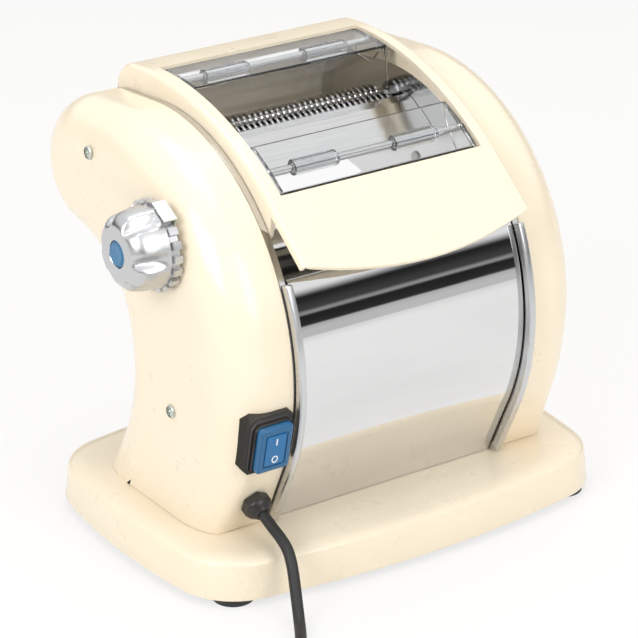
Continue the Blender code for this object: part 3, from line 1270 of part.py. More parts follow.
def make_guards():
    guard("front_guard", FRONT_GUARD_FRONT_Y, FRONT_GUARD_REAR_Y, FRONT_GUARD_PIN_Y, False)
    guard("rear_guard", REAR_GUARD_FRONT_Y, REAR_GUARD_REAR_Y, REAR_GUARD_PIN_Y, True)


# Inner sheets


def make_sheets():
    bent_sheet("front_chute", list(CHUTE_LINE), SHEET, COVER_HALF, "polished_steel")
    bent_sheet("cutter_cover", list(CUTTER_COVER_LINE), SHEET, COVER_HALF, "polished_steel")
    radius = BULGE_RADIUS - COVER_INSET
    first = math.acos((HOOD_REAR_Y + COVER_START - bulge_centre()[0]) / radius)
    cover = arc(bulge_centre(), radius, first, BULGE_END, BULGE_ARC_POINTS)
    bent_sheet("rear_cover", cover, -SHEET, COVER_HALF, "cream_paint")
    neck = inset_body_line(COVER_INSET, SHEET)[-2 * NECK_POINTS + 2:]
    bent_sheet("rear_panel", neck, -SHEET, COVER_HALF, "chrome")


def set_origin():
    """The empty under everything: it puts the origin under the middle of the machine's box."""
    cap = HOUSING_OUTER + KNOB_STAND_OFF + KNOB_RIM_WIDTH + 2 * FIT_GAP + KNOB_LENGTH + KNOB_CAP_PROUD
    rear = bulge_centre()[0] + BULGE_RADIUS
    origin = bpy.data.objects.new("machine_origin", None)
    origin.location = ((cap - BASE_LENGTH / 2) / 2, (BASE_DEPTH / 2 - rear) / 2, 0)
    bpy.data.collections["pasta_maker"].objects.link(origin)


def main():
    start()
    set_origin()
    make_base()
    make_frames()
    make_rods()
    make_panel()
    make_hood()
    make_guards()
    make_rollers()
    make_gears()
    make_motor()
    cam_end = make_blocks()
    make_knob(cam_end)
    switch_cut = make_switch()
    gland_cut = make_gland()
    outside = -HOUSING_OUTER - CUT_OVERRUN
    knob_hole = rod("knob_hole", KNOB_SHAFT_RADIUS + FIT_GAP, outside, -HOUSING_INNER, *KNOB_AXIS)
    upper = (HOUSING_SCREW_UPPER_Y, HOUSING_SCREW_UPPER_Z)
    lower = (HOUSING_SCREW_LOWER_Y, HOUSING_SCREW_LOWER_Z)
    right = (RIGHT_SCREW_Y, RIGHT_SCREW_Z)
    make_housing("left_housing", -1, (("upper", upper), ("lower", lower)), (knob_hole, switch_cut, gland_cut))
    make_housing("right_housing", 1, (("upper", right), ("lower", lower)), ())
    make_cord()
    make_sheets()


main()
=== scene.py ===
"""The looks of the electric pasta maker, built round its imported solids.

Metres, +X right along the rollers, +Y to the rear, +Z up. Shapes are drawn about the centre of the
base on the ground, as in the part's source, and MACHINE moves them to the shared frame.
"""

import math

import bmesh
import bpy
from mathutils import Matrix, Vector


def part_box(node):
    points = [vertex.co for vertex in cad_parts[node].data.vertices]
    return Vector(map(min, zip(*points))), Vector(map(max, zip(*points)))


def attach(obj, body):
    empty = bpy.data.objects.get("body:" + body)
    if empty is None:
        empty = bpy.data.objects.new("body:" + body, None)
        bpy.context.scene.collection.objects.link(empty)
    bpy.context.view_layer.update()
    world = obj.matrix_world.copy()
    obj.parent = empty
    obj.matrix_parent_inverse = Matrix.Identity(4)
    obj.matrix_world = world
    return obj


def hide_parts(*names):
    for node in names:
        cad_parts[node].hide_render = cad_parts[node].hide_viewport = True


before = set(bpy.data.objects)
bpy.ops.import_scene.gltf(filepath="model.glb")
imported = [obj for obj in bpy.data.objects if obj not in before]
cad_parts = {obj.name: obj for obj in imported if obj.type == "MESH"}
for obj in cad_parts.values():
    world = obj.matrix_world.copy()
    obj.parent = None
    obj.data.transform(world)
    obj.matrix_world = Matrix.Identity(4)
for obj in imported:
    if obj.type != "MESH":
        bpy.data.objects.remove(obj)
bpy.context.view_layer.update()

MACHINE = Vector(((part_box("base_shell")[0].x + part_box("base_shell")[1].x) / 2,
                  (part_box("base_shell")[0].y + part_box("base_shell")[1].y) / 2, 0.0))
SMOOTH_ANGLE = math.radians(32.0)
FIT_GAP = 0.0003

# The photograph's camera
EYE = (-0.91492, -1.337006, 0.83040)
TURN = math.radians(34.486)
TILT = math.radians(23.894)
LENS = 165.88

# Base moulding and feet
BASE_LENGTH = 0.300
BASE_DEPTH = 0.2156
BASE_CORNER_RADIUS = 0.040
BASE_FRONT_BOW = 0.0094
BASE_SIDE_BOW = 0.0043
BASE_BOTTOM = 0.005
BASE_EDGE_HEIGHT = 0.0253
BASE_TOP = 0.030
BASE_DRAFT = 0.0022
BASE_SHOULDER = 0.014
BASE_WALL = 0.0030
BASE_RIM = 0.0008
FOOT_RADIUS = 0.0125
FOOT_EDGE = 0.0010
FOOT_GROOVE = 0.0006
FOOT_ACROSS = 0.2412
FOOT_ALONG = 0.1588

# Side outline of the body
BODY_RADIUS = 0.1310
BODY_CENTRE = (0.0420, 0.1250)
FOOT_LEAN = math.radians(25.07)
BULGE_RADIUS = 0.0415
BULGE_PROUD = 0.0073
BULGE_DIRECTION = math.radians(62.65)
BULGE_END = math.radians(-81.5)
NECK = (0.0360, 0.1070)
NECK_UPPER_HANDLE = 0.0350
NECK_MIDDLE_HANDLE = 0.0400
NECK_LOWER_HANDLE = 0.0300
NECK_FOOT_Y = 0.0590
NECK_FOOT_LEAN = math.radians(24.6)
FOOT_Z = BASE_TOP + FIT_GAP
FRONT_ARC_POINTS = 60
BULGE_ARC_POINTS = 40
NECK_POINTS = 14

# Frames, panel and trims
FRAME_INNER = 0.0803
FRAME_OUTER = 0.0840
FRAME_INSET = 0.0006
PANEL_HALF = 0.0788
PANEL_THICKNESS = 0.0009
PANEL_TOP = 0.1840
PANEL_ROLL_RADIUS = 0.0026
PANEL_ROLL_TURN = math.radians(200.0)
TRIM_WIDTH = 0.0047
TRIM_PROUD = 0.0055
TRIM_BOTTOM_RISE = 0.0010

# Housings
HOUSING_INNER = FRAME_OUTER + FIT_GAP
HOUSING_OUTER = 0.1260
HOUSING_WALL = 0.0030
HOUSING_RIM = 0.0006
FILLET_ACROSS = 0.0260
FILLET_ACROSS_AT_FOOT = 0.0120
FILLET_DEPTH = 0.0300
FILLET_RISE = 0.0700
FILLET_STEPS = 14
HOUSING_SCREWS = {
    "left_housing_upper_screw": (-1, 0.0606, 0.2302),
    "left_housing_lower_screw": (-1, -0.0245, 0.0981),
    "right_housing_upper_screw": (1, 0.0880, 0.2220),
    "right_housing_lower_screw": (1, -0.0245, 0.0981),
}
SCREW_RADIUS = 0.0040
SCREW_HEAD = 0.0013

# Hood
HOOD_SHEET = 0.0025
HOOD_HALF_WIDTH = 0.0796
HOOD_REAR_Y = 0.1075
HOOD_RADIUS = 0.2050
HOOD_CENTRE = (0.0655, 0.0630)
HOOD_CORNER_RADIUS = 0.0190
HOOD_LAP = 0.0060
HOOD_EDGE_RADIUS = 0.0034
HOOD_RETURN = 0.0016
OPENING_HALF = 0.0702
OPENING_FRONT_Y = -0.0553
OPENING_REAR_Y = 0.0720
APRON_LENGTH = 0.0600
APRON_SIDE_LENGTH = 0.0455
APRON_SLOPE = math.radians(38.0)
APRON_WALL = 0.0120

# Rollers and cutters
ROLLER_RADIUS = 0.0125
ROLLER_HALF = 0.0780
SHAFT_RADIUS = 0.0042
CUTTER_RADIUS = 0.0095
CUTTER_GROOVE_RADIUS = 0.0062
CUTTER_PITCH = 0.0040
CUTTER_DISC = 0.0017
CUTTER_HALF = 0.0740
CUTTER_STEPS = 40
ROLLER_EDGE = 0.0008
TURNED_STEPS = 64

# Knob and index bracket
KNOB_AXIS = (-0.0160, 0.1995)
KNOB_RIM_RADIUS = 0.0270
KNOB_RIM_WIDTH = 0.0050
KNOB_STAND_OFF = 0.0015
KNOB_LENGTH = 0.0217
KNOB_FACE_RADIUS = 0.0165
KNOB_SHOULDER_RADIUS = 0.0245
KNOB_SCALLOP_DEPTH = 0.0045
KNOB_SCALLOPS = 6
KNOB_RING_POINTS = 144
# How far along the knob, how much of its shoulder and how much of its hollows, each as a share
KNOB_SHARES = (
    (0.0, 1.0, 0.0), (0.04, 1.0, 0.05), (0.15, 0.985, 0.45), (0.35, 0.96, 0.95), (0.55, 0.87, 1.0),
    (0.75, 0.72, 1.0), (0.88, 0.46, 0.75), (0.96, 0.2, 0.4), (1.0, 0.0, 0.2),
)
KNOB_BORE_RADIUS = 0.0079
KNOB_BORE_DEPTH = 0.0030
NOTCH_COUNT = 20
NOTCH_DEPTH = 0.0028
NOTCH_SHARES = (-0.30, -0.26, 0.0, 0.26, 0.30, 0.5)

# Switch, gland and cord
SWITCH_X = -0.1010
SWITCH_Z = 0.0970
BEZEL_WIDTH = 0.0310
BEZEL_HEIGHT = 0.0390
BEZEL_DEPTH = 0.0050
BEZEL_CHAMFER = 0.0040
ROCKER_WIDTH = 0.0220
ROCKER_HEIGHT = 0.0300
ROCKER_PROUD = 0.0095
ROCKER_CORNER_RADIUS = 0.0022
ROCKER_EDGE_RADIUS = 0.0016
ROCKER_EDGE_STEPS = 5
MARK_ON_HEIGHT = 0.0058
MARK_OFF_HEIGHT = -0.0062
MARK_OFF_RADII = (0.0021, 0.0024)
MARK_OFF_HOLE = 0.70
GLAND_X = -0.0990
GLAND_Z = 0.0514
GLAND_LENGTH = 0.0113
GLAND_NECK_RADIUS = 0.0062
CORD_SEAT = 0.0040
CORD_RADIUS = 0.00335
CORD_ROUTE = (
    (-0.0990, -0.0880, 0.0425),
    (-0.0993, -0.0970, 0.0395),
    (-0.1000, -0.1050, 0.0355),
    (-0.1015, -0.1115, 0.0290),
    (-0.1035, -0.1170, 0.0210),
    (-0.1060, -0.1230, 0.0125),
    (-0.1100, -0.1310, 0.0062),
    (-0.1145, -0.1390, 0.0037),
    (-0.1200, -0.1475, 0.0034),
    (-0.1330, -0.1660, 0.0034),
    (-0.1465, -0.1855, 0.0036),
    (-0.1595, -0.2043, 0.0044),
)
COIL_TURNS = 6
COIL_TURN_GAP = 0.0005
COIL_CLIMB_TURNS = 0.5
COIL_MIDDLE_RADIUS = 0.0395
COIL_START = (-0.1724, -0.2228)
COIL_Z = 0.0050
COIL_HEADING = math.radians(235.5)
COIL_LOOP_POINTS = 48
COIL_TAIL = 0.0350


def polar(centre, radius, angle):
    return centre[0] + radius * math.cos(angle), centre[1] + radius * math.sin(angle)


def arc(centre, radius, first, last, count):
    """Points on an arc, both ends taken in."""
    step = (last - first) / (count - 1)
    return [polar(centre, radius, first + step * i) for i in range(count)]


def offset_line(line, distance):
    """The open line moved sideways, to the left of its run, each corner mitred."""
    runs = [(Vector(b) - Vector(a)).normalized() for a, b in zip(line, line[1:])]
    sides = [Vector((-run.y, run.x)) for run in runs]
    moved = []
    for i, point in enumerate(line):
        before = sides[max(i - 1, 0)]
        after = sides[min(i, len(sides) - 1)]
        middle = (before + after).normalized()
        moved.append(tuple(Vector(point) + middle * (distance / middle.dot(before))))
    return moved


def bezier(first, first_handle, last_handle, last, count):
    """Points inside and at the end of one cubic stretch, its first point left out."""
    points = []
    for i in range(1, count + 1):
        t = i / count
        weights = ((1 - t) ** 3, 3 * t * (1 - t) ** 2, 3 * t * t * (1 - t), t**3)
        controls = (first, first_handle, last_handle, last)
        points.append(tuple(sum(w * p[k] for w, p in zip(weights, controls)) for k in (0, 1)))
    return points


def bulge_centre():
    return polar(BODY_CENTRE, BODY_RADIUS - BULGE_RADIUS + BULGE_PROUD, BULGE_DIRECTION)


def front_y(z, depth=0.0):
    """The outline's y on the front side at a height, the outline moved in by a depth."""
    radius = BODY_RADIUS - depth
    bend_z = BODY_CENTRE[1] - radius * math.sin(FOOT_LEAN)
    if z >= bend_z:
        return BODY_CENTRE[0] - math.sqrt(radius**2 - (z - BODY_CENTRE[1]) ** 2)
    return BODY_CENTRE[0] - radius * math.cos(FOOT_LEAN) + (bend_z - z) * math.tan(FOOT_LEAN)


def body_line():
    """The body's side outline, front foot to rear foot over the top."""
    reach = BODY_RADIUS - BULGE_RADIUS + BULGE_PROUD
    top = BULGE_DIRECTION + math.acos((BODY_RADIUS - BULGE_RADIUS) / reach)
    line = [(front_y(FOOT_Z), FOOT_Z)]
    line += arc(BODY_CENTRE, BODY_RADIUS, math.pi + FOOT_LEAN, top, FRONT_ARC_POINTS)
    line += arc(bulge_centre(), BULGE_RADIUS, top, BULGE_END, BULGE_ARC_POINTS)
    upper = Vector(line[-1]) + Vector((math.sin(BULGE_END), -math.cos(BULGE_END))) * NECK_UPPER_HANDLE
    line += bezier(line[-1], upper, (NECK[0], NECK[1] + NECK_MIDDLE_HANDLE), NECK, NECK_POINTS)
    heel = Vector((NECK_FOOT_Y, FOOT_Z))
    lower = heel + Vector((-math.sin(NECK_FOOT_LEAN), math.cos(NECK_FOOT_LEAN))) * NECK_LOWER_HANDLE
    line += bezier(NECK, (NECK[0], NECK[1] - NECK_LOWER_HANDLE), lower, heel, NECK_POINTS)
    return line


BODY_LINE = body_line()


def inset_body_line(inset, lift=0.0):
    """The outline moved in, its two foot points kept level."""
    line = offset_line(BODY_LINE, -inset)
    line[0] = (BODY_LINE[0][0] + inset, FOOT_Z + lift)
    line[-1] = (BODY_LINE[-1][0] - inset, FOOT_Z + lift)
    return line


def front_tilt(z):
    """How far the outward normal points below level on the front of the outline."""
    return min(FOOT_LEAN, math.asin((BODY_CENTRE[1] - z) / BODY_RADIUS))


def front_place(x, z):
    """Local axes on the front surface: across, up along it, and out from it."""
    tilt = front_tilt(z)
    across = Vector((1, 0, 0))
    up = Vector((0, -math.sin(tilt), math.cos(tilt)))
    out = Vector((0, -math.cos(tilt), -math.sin(tilt)))
    place = Matrix((across, up, out)).transposed().to_4x4()
    place.translation = (x, front_y(z), z)
    return place


# Materials


class Look:
    """One Principled material and short ways to add nodes to it."""

    def __init__(self, name, roughness, metallic=0.0):
        self.made = bpy.data.materials.new("look_" + name)
        self.made.use_nodes = True
        self.tree = self.made.node_tree
        self.shader = self.tree.nodes["Principled BSDF"]
        self.set("Roughness", roughness)
        self.set("Metallic", metallic)

    def set(self, socket, value):
        self.shader.inputs[socket].default_value = value

    def node(self, kind, **inputs):
        made = self.tree.nodes.new(kind)
        for socket, value in inputs.items():
            made.inputs[socket.replace("_", " ")].default_value = value
        return made

    def link(self, source, target, socket):
        self.tree.links.new(source, target.inputs[socket])

    def place(self, stretch=(1.0, 1.0, 1.0)):
        """Object coordinates, stretched for a grain."""
        mapping = self.node("ShaderNodeMapping", Scale=stretch)
        self.link(self.node("ShaderNodeTexCoord").outputs["Object"], mapping, "Vector")
        return mapping.outputs["Vector"]

    def noise(self, scale, detail=3.0, stretch=(1.0, 1.0, 1.0)):
        made = self.node("ShaderNodeTexNoise", Scale=scale, Detail=detail, Roughness=0.55)
        self.link(self.place(stretch), made, "Vector")
        return made.outputs["Fac"]

    def tones(self, factor, low, high, start=0.3, end=0.7):
        """The base colour between two tones."""
        ramp = self.node("ShaderNodeValToRGB")
        ramp.color_ramp.elements[0].position = start
        ramp.color_ramp.elements[1].position = end
        ramp.color_ramp.elements[0].color = (*low, 1)
        ramp.color_ramp.elements[1].color = (*high, 1)
        self.link(factor, ramp, "Fac")
        self.link(ramp.outputs["Color"], self.shader, "Base Color")

    def sheen_range(self, factor, low, high):
        """Roughness between two values."""
        scale = self.node("ShaderNodeMapRange")
        for socket, value in (("From Min", 0.3), ("From Max", 0.7), ("To Min", low), ("To Max", high)):
            scale.inputs[socket].default_value = value
        self.link(factor, scale, "Value")
        self.link(scale.outputs["Result"], self.shader, "Roughness")

    def relief(self, factor, depth, strength=1.0):
        bump = self.node("ShaderNodeBump", Strength=strength, Distance=depth)
        self.link(factor, bump, "Height")
        self.link(bump.outputs["Normal"], self.shader, "Normal")
        return self


def tint(colour, share):
    return tuple(channel * share for channel in colour)


def painted(name, colour, roughness, grain, depth, coat=0.0):
    """Moulded plastic or paint: faint mottling, uneven gloss and a fine skin."""
    look = Look(name, roughness)
    look.tones(look.noise(14.0), tint(colour, 0.97), colour)
    look.sheen_range(look.noise(45.0), roughness * 0.85, roughness * 1.2)
    look.relief(look.noise(grain, 2.0), depth, 0.6)
    look.set("Coat Weight", coat)
    look.set("Coat Roughness", 0.06)
    return look.made


def metal(name, colour, roughness, stretch, grain, depth):
    """Bare metal: a directional or even grain in its colour, gloss and relief."""
    look = Look(name, roughness, 1.0)
    streaks = look.noise(grain, 4.0, stretch)
    look.tones(streaks, tint(colour, 0.9), colour)
    look.sheen_range(look.noise(30.0, 3.0), roughness * 0.75, roughness * 1.35)
    look.relief(streaks, depth, 0.5)
    return look.made


def plated(name, colour, roughness):
    """Zinc plate: patches of crystals with a faint green cast."""
    look = Look(name, roughness, 1.0)
    cells = look.node("ShaderNodeTexVoronoi", Scale=420.0)
    look.link(look.place(), cells, "Vector")
    look.tones(cells.outputs["Distance"], tint(colour, 0.86), colour, 0.1, 0.8)
    look.sheen_range(look.noise(60.0), roughness * 0.8, roughness * 1.3)
    look.relief(look.noise(900.0), 0.00003, 0.5)
    return look.made


def clear(name):
    """Clear moulded plastic with faint handling haze."""
    look = Look(name, 0.03)
    look.set("Base Color", (0.97, 0.98, 0.99, 1))
    look.set("Transmission Weight", 1.0)
    look.set("IOR", 1.46)
    look.sheen_range(look.noise(70.0), 0.015, 0.06)
    look.relief(look.noise(26.0, 1.0), 0.0004, 0.25)
    return look.made


EVEN = (1.0, 1.0, 1.0)
ALONG_X = (0.03, 1.0, 1.0)
CREAM = (0.905, 0.800, 0.625)
LOOKS = {
    "cream_paint": painted("cream_paint", CREAM, 0.30, 420.0, 0.00004, 0.35),
    "chrome": metal("chrome", (0.80, 0.80, 0.805), 0.035, (0.2, 1.0, 1.0), 22.0, 0.00006),
    "polished_steel": metal("polished_steel", (0.70, 0.70, 0.70), 0.14, ALONG_X, 900.0, 0.00001),
    "roller_steel": metal("roller_steel", (0.74, 0.74, 0.745), 0.10, (1.0, 0.05, 0.05), 700.0, 0.00001),
    "aluminium": metal("aluminium", (0.68, 0.69, 0.70), 0.28, (1.0, 0.06, 0.06), 1400.0, 0.00002),
    "satin_silver": metal("satin_silver", (0.64, 0.645, 0.655), 0.30, EVEN, 1800.0, 0.00002),
    "bronze": metal("bronze", (0.60, 0.42, 0.20), 0.35, EVEN, 700.0, 0.00003),
    "dark_steel": metal("dark_steel", (0.22, 0.22, 0.23), 0.45, EVEN, 600.0, 0.00004),
    "zinc": plated("zinc", (0.68, 0.71, 0.66), 0.36),
    "blue_plastic": painted("blue_plastic", (0.018, 0.120, 0.270), 0.30, 900.0, 0.00002),
    "bright_blue": painted("bright_blue", (0.010, 0.150, 0.380), 0.26, 900.0, 0.00001),
    "knob_blue": painted("knob_blue", (0.05, 0.19, 0.36), 0.38, 900.0, 0.00002),
    "black_plastic": painted("black_plastic", (0.022, 0.020, 0.019), 0.40, 1500.0, 0.00006),
    "black_rubber": painted("black_rubber", (0.018, 0.018, 0.018), 0.50, 1100.0, 0.00005),
    "white_nylon": painted("white_nylon", (0.80, 0.79, 0.74), 0.45, 700.0, 0.00003),
    "mark_white": painted("mark_white", (0.88, 0.90, 0.92), 0.45, 900.0, 0.00001),
    "clear_plastic": clear("clear_plastic"),
}


# Making pieces


def join(form, low, high):
    """Faces between two rows of corners; a row of one corner is a pole."""
    count = max(len(low), len(high))
    for i in range(count):
        j = (i + 1) % count
        corners = (low[i % len(low)], low[j % len(low)], high[j % len(high)], high[i % len(high)])
        form.faces.new(list(dict.fromkeys(corners)))


def lofted(rings, caps=True):
    form = bmesh.new()
    rows = [[form.verts.new(point) for point in ring] for ring in rings]
    for low, high in zip(rows, rows[1:]):
        join(form, low, high)
    if caps:
        for row in (rows[0], rows[-1]):
            if len(row) > 2:
                form.faces.new(row)
    else:
        join(form, rows[-1], rows[0])
    return form


def turned(profile, centre=(0.0, 0.0), steps=TURNED_STEPS, ring=False):
    """A form turned about a line along X; the profile is (x, radius) points."""
    rings = []
    for x, radius in profile:
        turns = [2 * math.pi * i / steps for i in range(steps)] if radius else [0.0]
        rings.append([(x, *polar(centre, radius, turn)) for turn in turns])
    return lofted(rings, caps=not ring)


def rounded_end(x, radius, edge, toward, steps=4):
    """The (x, radius) points of a turned piece's rounded edge; toward is 1 or -1 along X."""
    points = []
    for i in range(steps + 1):
        turn = math.pi / 2 * i / steps
        points.append((x - toward * edge * (1 - math.sin(turn)), radius - edge * (1 - math.cos(turn))))
    return points


def slab(outline, x_low, x_high):
    """The (y, z) outline carried from one x to another."""
    return lofted([[(x, y, z) for y, z in outline] for x in (x_low, x_high)])


def bent_sheet(line, thickness, half_width):
    return slab(line + offset_line(line, thickness)[::-1], -half_width, half_width)


def add(name, form, look, body, *nodes, edge=0.0, place=None):
    """The form as a piece: it rides on a body and stands for the named CAD nodes."""
    if place:
        form.transform(place)
    bmesh.ops.recalc_face_normals(form, faces=form.faces)
    mesh = bpy.data.meshes.new(name)
    form.to_mesh(mesh)
    form.free()
    mesh.shade_smooth()
    mesh.materials.append(LOOKS[look])
    obj = bpy.data.objects.new(name, mesh)
    obj.location = MACHINE
    bpy.context.scene.collection.objects.link(obj)
    if edge:
        bevel = obj.modifiers.new("edge", "BEVEL")
        bevel.limit_method = "ANGLE"
        bevel.angle_limit = SMOOTH_ANGLE
        bevel.width = edge
        bevel.segments = 3
        obj.modifiers.new("shade", "WEIGHTED_NORMAL")
    else:
        mesh.set_sharp_from_angle(angle=SMOOTH_ANGLE)
    settle(obj, body, nodes)
    return obj


def settle(obj, body, nodes):
    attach(obj, body)
    if nodes:
        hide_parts(*nodes)


# Camera and cord


def make_camera():
    right = Vector((math.cos(TURN), -math.sin(TURN), 0))
    back = Vector((-math.sin(TURN) * math.cos(TILT), -math.cos(TURN) * math.cos(TILT), math.sin(TILT)))
    place = Matrix((right, back.cross(right), back)).transposed().to_4x4()
    place.translation = EYE
    data = bpy.data.cameras.new("photo_camera")
    data.lens = LENS
    camera = bpy.data.objects.new("photo_camera", data)
    camera.matrix_world = place
    bpy.context.scene.collection.objects.link(camera)
    bpy.context.scene.camera = camera


def smooth_route(points, spans=6):
    """A Catmull-Rom curve through the given points."""
    points = [Vector(point) for point in points]
    ends = [2 * points[0] - points[1], *points, 2 * points[-1] - points[-2]]
    route = []
    for before, first, last, after in zip(ends, ends[1:], ends[2:], ends[3:]):
        bend = 2 * before - 5 * first + 4 * last - after
        twist = 3 * first - before - 3 * last + after
        for i in range(spans):
            t = i / spans
            route.append(0.5 * (2 * first + (last - before) * t + bend * t**2 + twist * t**3))
    return [*route, points[-1]]


def coil_points():
    """The stored part of the cord: one flat spiral in, a climb, the same spiral out above it."""
    pitch = 2 * CORD_RADIUS + COIL_TURN_GAP
    outer = COIL_MIDDLE_RADIUS + pitch * COIL_TURNS / 4
    first = COIL_HEADING - math.pi / 2
    centre = Vector(COIL_START) - Vector(polar((0, 0), outer, first))
    heading = Vector((math.cos(COIL_HEADING), math.sin(COIL_HEADING), 0))
    points = []
    for i in range(COIL_TURNS * COIL_LOOP_POINTS + 1):
        turn = i / COIL_LOOP_POINTS
        radius = outer - pitch * min(turn, COIL_TURNS - turn)
        share = min(1, max(0, (turn - COIL_TURNS / 2) / COIL_CLIMB_TURNS + 0.5))
        x, y = polar(centre, radius, first + 2 * math.pi * turn)
        points.append(Vector((x, y, COIL_Z + pitch * share * share * (3 - 2 * share))))
    return [*points, points[-1] + heading * COIL_TAIL]


def make_cord():
    gland = front_place(GLAND_X, GLAND_Z)
    coil = coil_points()
    lead = coil[0] - Vector((math.cos(COIL_HEADING), math.sin(COIL_HEADING), 0)) * 2 * CORD_RADIUS
    start = gland @ Vector((0, 0, -CORD_SEAT))
    route = [start, gland @ Vector((0, 0, GLAND_LENGTH)), *CORD_ROUTE, lead]
    points = smooth_route(route) + coil
    curve = bpy.data.curves.new("mains_cord", "CURVE")
    curve.dimensions = "3D"
    curve.bevel_depth = CORD_RADIUS
    curve.bevel_resolution = 5
    curve.use_fill_caps = True
    spline = curve.splines.new("POLY")
    spline.points.add(len(points) - 1)
    for target, point in zip(spline.points, points):
        target.co = (*point, 1)
    spline.use_smooth = True
    curve.materials.append(LOOKS["black_rubber"])
    cord = bpy.data.objects.new("mains_cord", curve)
    cord.location = MACHINE
    bpy.context.scene.collection.objects.link(cord)
    settle(cord, "machine", ("cord_stretch", "cord_coil"))


make_camera()
make_cord()


# Base


def base_ring(inset, z):
    """The bowed rounded rectangle of the base at one height, moved in by the inset."""
    radius = BASE_CORNER_RADIUS - inset
    across = BASE_LENGTH / 2 - BASE_SIDE_BOW - BASE_CORNER_RADIUS
    along = BASE_DEPTH / 2 - BASE_FRONT_BOW - BASE_CORNER_RADIUS
    shares = [i / 10 for i in range(11)]
    quarter = []
    for share in shares:
        normal = Vector((2 * BASE_FRONT_BOW * share / across, 1)).normalized()
        quarter.append(Vector((across * share, along + BASE_FRONT_BOW * (1 - share**2))) + normal * radius)
    first = math.atan2(normal.y, normal.x)
    last = math.atan2(2 * BASE_SIDE_BOW / along, 1)
    quarter += [Vector(p) for p in arc((across, along), radius, first, last, 18)[1:-1]]
    for share in reversed(shares):
        normal = Vector((1, 2 * BASE_SIDE_BOW * share / along)).normalized()
        quarter.append(Vector((across + BASE_SIDE_BOW * (1 - share**2), along * share)) + normal * radius)
    back = quarter[::-1]
    ring = [(p.x, p.y, z) for p in quarter]
    ring += [(p.x, -p.y, z) for p in back[1:]]
    ring += [(-p.x, -p.y, z) for p in quarter[1:]]
    return ring + [(-p.x, p.y, z) for p in back[1:-1]]


def base_profile(wall):
    """(inset, z) pairs up the side and over the soft shoulder, the surface moved in by a wall."""
    rise = BASE_TOP - BASE_EDGE_HEIGHT
    pairs = [(wall + BASE_RIM * 0.3, BASE_BOTTOM), (wall, BASE_BOTTOM + BASE_RIM)]
    for i in range(13):
        turn = math.pi / 2 * i / 12
        inset = BASE_DRAFT + (BASE_SHOULDER - BASE_DRAFT) * (1 - math.cos(turn))
        pairs.append((inset + wall, BASE_EDGE_HEIGHT + rise * math.sin(turn) - wall))
    pairs.append((BASE_SHOULDER + wall + BASE_RIM, BASE_TOP - wall))
    return pairs


def foot_profile():
    """(height, radius) of a foot, with one groove in its sole."""
    top = BASE_BOTTOM - FIT_GAP
    groove = ((0, 0.55), (FOOT_GROOVE, 0.6), (FOOT_GROOVE, 0.75), (0, 0.8))
    profile = [(0, 0), *[(height, FOOT_RADIUS * share) for height, share in groove]]
    profile += rounded_end(0, FOOT_RADIUS, FOOT_EDGE, -1)[::-1]
    return profile + [(top, FOOT_RADIUS), (top, 0)]


def make_base():
    inner = [base_ring(*pair) for pair in reversed(base_profile(BASE_WALL))]
    outer = [base_ring(*pair) for pair in base_profile(0)]
    add("base_moulding", lofted(inner + outer), "cream_paint", "machine", "base_shell")
    profile = foot_profile()
    for x, across in ((-FOOT_ACROSS / 2, "left"), (FOOT_ACROSS / 2, "right")):
        for y, along in ((-FOOT_ALONG / 2, "front"), (FOOT_ALONG / 2, "rear")):
            upright = Matrix.Translation((x, y, 0)) @ Matrix.Rotation(-math.pi / 2, 4, "Y")
            add(f"{across}_{along}_rubber_foot", turned(profile, steps=40), "black_rubber", "machine",
                f"{across}_{along}_foot", place=upright)


# Housings and frames


def housing_ring(turn, wall, side, x=None, grow=0.0):
    """One ring of a housing: turn runs from the rim side of the soft edge, 90 degrees, to its face, 0."""
    inset = wall + FILLET_DEPTH * (1 - math.sin(turn)) + grow
    ring = []
    for (y, z), (_, drawn_z) in zip(inset_body_line(inset, wall), BODY_LINE):
        share = min(1, (drawn_z - FOOT_Z) / FILLET_RISE)
        across = FILLET_ACROSS_AT_FOOT + (FILLET_ACROSS - FILLET_ACROSS_AT_FOOT) * share
        ring.append((side * (x or HOUSING_OUTER - wall - across * (1 - math.cos(turn))), y, z))
    return ring


def make_housing(side, name):
    turns = [math.pi / 2 * (1 - i / FILLET_STEPS) for i in range(FILLET_STEPS + 1)]
    inner = [housing_ring(turn, HOUSING_WALL, side) for turn in reversed(turns)]
    inner.append(housing_ring(math.pi / 2, HOUSING_WALL, side, HOUSING_INNER))
    outer = [housing_ring(math.pi / 2, 0, side, HOUSING_INNER, HOUSING_RIM)]
    outer.append(housing_ring(math.pi / 2, 0, side, HOUSING_INNER + HOUSING_RIM))
    outer += [housing_ring(turn, 0, side) for turn in turns]
    outer.append(housing_ring(0, 0, side, grow=HOUSING_RIM))
    return add(name + "_moulding", lofted(inner + outer), "cream_paint", "machine", name)


def star(radius, depth, lobes, count=48):
    """A round outline with soft lobes, for a screw's recess."""
    return [polar((0, 0), radius - depth * (0.5 - 0.5 * math.cos(lobes * 2 * math.pi * i / count)),
                  2 * math.pi * i / count) for i in range(count)]


def make_screws():
    for name, (side, y, z) in HOUSING_SCREWS.items():
        head = HOUSING_OUTER + FIT_GAP
        top = head + SCREW_HEAD
        edge = rounded_end(top, SCREW_RADIUS, 0.0008, 1)[::-1]
        rings = [[(head, *polar((0, 0), SCREW_RADIUS, 2 * math.pi * i / 48)) for i in range(48)]]
        for x, radius in edge:
            rings.append([(x, *polar((0, 0), radius, 2 * math.pi * i / 48)) for i in range(48)])
        rings.append([(top, *point) for point in star(0.0024, 0.0006, 6)])
        rings.append([(top - 0.0010, *point) for point in star(0.0022, 0.0006, 6)])
        if side < 0:
            rings = [[(-x, v, w) for x, v, w in ring] for ring in rings]
        add(name + "_head", lofted(rings), "zinc", "machine", name, place=Matrix.Translation((0, y, z)))


